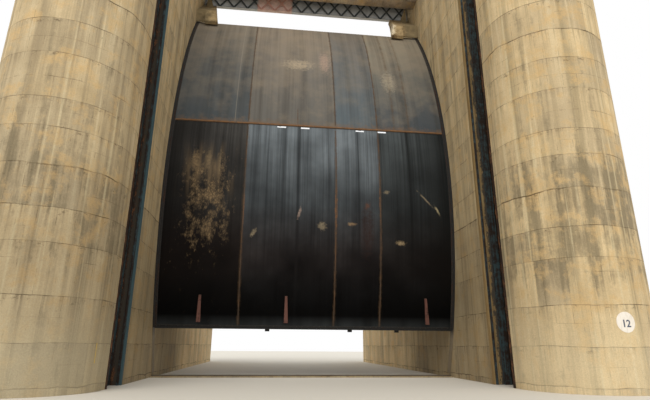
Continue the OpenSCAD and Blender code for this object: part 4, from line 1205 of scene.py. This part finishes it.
clamp_steel = weathered_steel("clamp_bar_steel", "#262523", "#4a3223", rusted=0.45)
clamps = bmesh.new()
for side in (-1, 1):
    middle = side * (LEAF_X - SIDE_BAR_IN)
    rings = []
    for k in range(CURVE_STEPS + 1):
        here = skin_frame(middle, LIP + 0.05 + (TOP - LIP - 0.1) * k / CURVE_STEPS, SEAL_FLANGE)
        rings.append(bar_outline(here.translation, ACROSS, here.col[2].to_3d(), *SIDE_BAR))
    draw_along(clamps, rings)
    bolts = int(math.radians(TOP - LIP) * SKIN_R / CLAMP_PITCH)
    for k in range(bolts):
        degrees = LIP + 0.3 + (TOP - LIP - 0.6) * k / (bolts - 1)
        add_bolt(clamps, skin_frame(middle, degrees, SEAL_FLANGE + SIDE_BAR[1]), CLAMP_BOLT)
add_piece("side_seal_clamps", clamps, clamp_steel, "leaf")

# %% Lip clamp
LIP_BAR = (0.05, 0.016)
LIP_CLAMP_A = LIP + 0.22
span = LEAF_X - 0.16
lip_clamp = bmesh.new()
here = skin_frame(0.0, LIP_CLAMP_A)
uphill, outward = here.col[0].to_3d(), here.col[2].to_3d()
draw_along(lip_clamp, [bar_outline(on_skin(x, LIP_CLAMP_A), uphill, outward, *LIP_BAR)
                       for x in (-span, span)])
bolts = int(2 * span / CLAMP_PITCH)
for k in range(bolts):
    x = -span + 0.1 + (2 * span - 0.2) * k / (bolts - 1)
    add_bolt(lip_clamp, skin_frame(x, LIP_CLAMP_A, LIP_BAR[1]), CLAMP_BOLT)
add_piece("lip_seal_clamp", lip_clamp, black_steel, "leaf")

# %% [markdown]
# ## Trunnion bolts and pin caps
# The thrust of the whole leaf goes through two pins into brackets, each held down by
# large anchor nuts on its base plate. A turned cap closes each end of a pin.

# %% Trunnion bolts
ANCHOR = 0.11
ANCHORS_ACROSS = (-0.87, 0.0, 0.87)
ANCHORS_UP = (-1.0, -0.5, 0.5, 1.0)
BASE_PLATE_T = 0.14
HALF_PIN = 0.69
CAP_PROFILE = ((0.24, 0.0), (0.24, 0.03), (0.22, 0.045))
CAP_BOLT = 0.06
CAP_BOLT_RING = 0.16

anchors = bmesh.new()
caps = bmesh.new()
for name in ("left_trunnion_bracket", "right_trunnion_bracket"):
    low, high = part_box(name)
    middle_x = (low.x + high.x) / 2
    for across in ANCHORS_ACROSS:
        for rise in ANCHORS_UP:
            spot = Vector((middle_x + across, high.y - BASE_PLATE_T, TRUNNION.z + rise))
            add_bolt(anchors, frame_at(spot, Vector((0, -1, 0)), UPRIGHT), ANCHOR)
    for end in (-1, 1):
        spot = Vector((middle_x + end * HALF_PIN, TRUNNION.y, TRUNNION.z))
        outward = ACROSS * end
        turn_profile(caps, frame_at(spot, outward, UPRIGHT), CAP_PROFILE, 48)
        cap_face = spot + outward * CAP_PROFILE[-1][1]
        for k in range(6):
            turn = math.radians(60 * k)
            offset = Vector((0, math.cos(turn), math.sin(turn))) * CAP_BOLT_RING
            add_bolt(caps, frame_at(cap_face + offset, outward, UPRIGHT), CAP_BOLT)
anchor_steel = weathered_steel("anchor_nut_steel", "#45413c", "#5f4130", rusted=0.55, roughness=0.7)
add_piece("trunnion_anchor_nuts", anchors, anchor_steel, "posts")
add_piece("pin_end_caps", caps, cast_steel, "posts")

# %% [markdown]
# ## The sign on the right nose and the paint mark on the left
# A round white plate carries the bay's number. Enamel is glass melted onto sheet steel,
# smooth and fairly glossy at a roughness of 0.35, with fine streaks of dirt. The plate
# is thin and was bent to the round nose, so its points are laid out flat and then
# wrapped round the nose.

# %% Enamelled sign
SIGN_R = 0.37
SIGN_T = 0.006
SIGN_Z = 2.49
SIGN_OFF = 0.1
ROUND_STEPS = 40
RINGS = 12


def on_nose(nose_x, around, z, proud):
    """A point of a nose: around is measured along its surface from its foremost line."""
    turn = around / NOSE_R
    reach = NOSE_R + proud
    return Vector((nose_x + reach * math.sin(turn), NOSE_Y - reach * math.cos(turn), z))


def enamel(name, tone, dirt):
    """Enamelled sheet with weather dirt in fine streaks."""
    material, shader = new_material(name, roughness=0.35, ior=1.5)
    place = add_node(material, "TexCoord", out="Object")
    streaks = stretched_marks(material, place, (55.6, 55.6, 333), 6.0)
    dirty = add_node(material, "MapRange", {"Value": streaks, "From Min": 0.48, "From Max": 0.75,
                                            "To Max": dirt})
    weathered = add_node(material, "Mix", {0: dirty, 6: tone, 7: "#a4937a"}, data_type="RGBA")
    return finish(material, shader, Base_Color=weathered)


sign_around = NOSE_R * math.asin(SIGN_OFF / NOSE_R)
sign = bmesh.new()
rims = []
for proud in (0.001, SIGN_T):
    middle = sign.verts.new(on_nose(NOSE_X, sign_around, SIGN_Z, proud))
    rings = []
    for ring in range(1, RINGS + 1):
        reach = SIGN_R * ring / RINGS
        turns = [2 * math.pi * k / ROUND_STEPS for k in range(ROUND_STEPS)]
        rings.append([sign.verts.new(on_nose(NOSE_X, sign_around + reach * math.cos(t),
                                             SIGN_Z + reach * math.sin(t), proud)) for t in turns])
    for k in range(ROUND_STEPS):
        beside = (k + 1) % ROUND_STEPS
        sign.faces.new((middle, rings[0][k], rings[0][beside]))
        for inner, outer in zip(rings, rings[1:]):
            sign.faces.new((inner[k], outer[k], outer[beside], inner[beside]))
    rims.append(rings[-1])
for k in range(ROUND_STEPS):
    beside = (k + 1) % ROUND_STEPS
    sign.faces.new((rims[0][k], rims[0][beside], rims[1][beside], rims[1][k]))
add_piece("pier_sign", sign, enamel("white_enamel", "#efe6d8", 0.35), "posts")

# %% [markdown]
# The number is cut the same way from Blender's own plain letters: they are made flat,
# turned into a mesh and wrapped round the nose, just proud of the sign. A short stripe of
# yellow paint marks a level on the left nose, and is drawn as a strip 2 mm thick.

# %% The bay's number
NUMBER_DROP = 0.06
NUMBER_PROUD = 0.002
letters = bpy.data.curves.new("bay_number", "FONT")
letters.body = "12"
letters.size = 0.36
letters.align_x = "CENTER"
letters.align_y = "CENTER"
letters.extrude = 0.002
letters.offset = 0.008
letters.resolution_u = 4
flat_text = bpy.data.objects.new("bay_number_flat", letters)
bpy.context.scene.collection.objects.link(flat_text)
bpy.context.view_layer.update()
number = bmesh.new()
number.from_mesh(flat_text.to_mesh())
bpy.data.objects.remove(flat_text)
bmesh.ops.remove_doubles(number, verts=number.verts, dist=0.0001)
for vert in number.verts:
    vert.co = on_nose(NOSE_X, sign_around + vert.co.x, SIGN_Z - NUMBER_DROP + vert.co.y,
                      SIGN_T + NUMBER_PROUD + vert.co.z)
add_piece("bay_number", number, enamel("grey_blue_enamel", "#4d5668", 0.2), "posts")

# %% The level mark
MARK_X = -8.11
MARK_Z = 0.96
MARK_H = 0.68
MARK_STEPS = 7
stripe = bmesh.new()
stripe_around = NOSE_R * math.asin((MARK_X + NOSE_X) / NOSE_R)
rings = []
for k in range(MARK_STEPS + 1):
    z = MARK_Z + MARK_H * k / MARK_STEPS
    rings.append([on_nose(-NOSE_X, stripe_around + u, z, v)
                  for u, v in ((-0.02, 0.0), (0.02, 0.0), (0.02, 0.002), (-0.02, 0.002))])
draw_along(stripe, rings)
add_piece("yellow_level_mark", stripe, enamel("yellow_paint", "#c9a63a", 0.5), "posts")

# %% [markdown]
# ## Floor, light and background
# A plain pale floor carries the piers' shadows. The sky is one even soft light, with a
# very wide sun in front of the piers and above them for the form of the round noses.
# Rays that see the world directly or in a reflection meet white.

# %% Floor and sun
FLOOR_HALF = 110.0
FLOOR_Z = -0.002
corners = [(x * FLOOR_HALF, y * FLOOR_HALF, FLOOR_Z) for x, y in ((-1, -1), (1, -1), (1, 1), (-1, 1))]
floor_mesh = bpy.data.meshes.new("floor")
floor_mesh.from_pydata(corners, [], [(0, 1, 2, 3)])
floor = bpy.data.objects.new("floor", floor_mesh)
bpy.context.scene.collection.objects.link(floor)
floor_finish, floor_shader = new_material("pale_floor", roughness=0.95)
floor_shader.inputs["Base Color"].default_value = colour("#d9d2c4")
floor_mesh.materials.append(floor_finish)

sun = bpy.data.objects.new("sun", bpy.data.lights.new("sun", "SUN"))
sun.data.energy = 1.45
sun.data.angle = math.radians(50)
sun.data.color = (1.0, 0.97, 0.92)
sun.rotation_euler = (math.radians(48), 0, math.radians(-14))
bpy.context.scene.collection.objects.link(sun)
print("floor", 2 * FLOOR_HALF, "m across, sun", sun.data.energy)

# %% Sky
world = bpy.data.worlds.new("world")
bpy.context.scene.world = world
world.use_nodes = True
sky_nodes = world.node_tree.nodes
sky_links = world.node_tree.links
sky = sky_nodes["Background"]
sky.inputs["Color"].default_value = (0.93, 0.96, 1.0, 1)
sky.inputs["Strength"].default_value = 0.95
white = sky_nodes.new("ShaderNodeBackground")
white.inputs["Color"].default_value = (1, 1, 1, 1)
white.inputs["Strength"].default_value = 1.0
rays = sky_nodes.new("ShaderNodeLightPath")
seen = rays.outputs["Is Camera Ray"]
for kind in ("Is Glossy Ray", "Is Transmission Ray"):
    either = sky_nodes.new("ShaderNodeMath")
    either.operation = "MAXIMUM"
    sky_links.new(seen, either.inputs[0])
    sky_links.new(rays.outputs[kind], either.inputs[1])
    seen = either.outputs[0]
choose = sky_nodes.new("ShaderNodeMixShader")
sky_links.new(seen, choose.inputs[0])
sky_links.new(sky.outputs[0], choose.inputs[1])
sky_links.new(white.outputs[0], choose.inputs[2])
sky_links.new(choose.outputs[0], sky_nodes["World Output"].inputs["Surface"])
bpy.context.scene.view_settings.view_transform = "Standard"
print("sky strength", sky.inputs["Strength"].default_value)
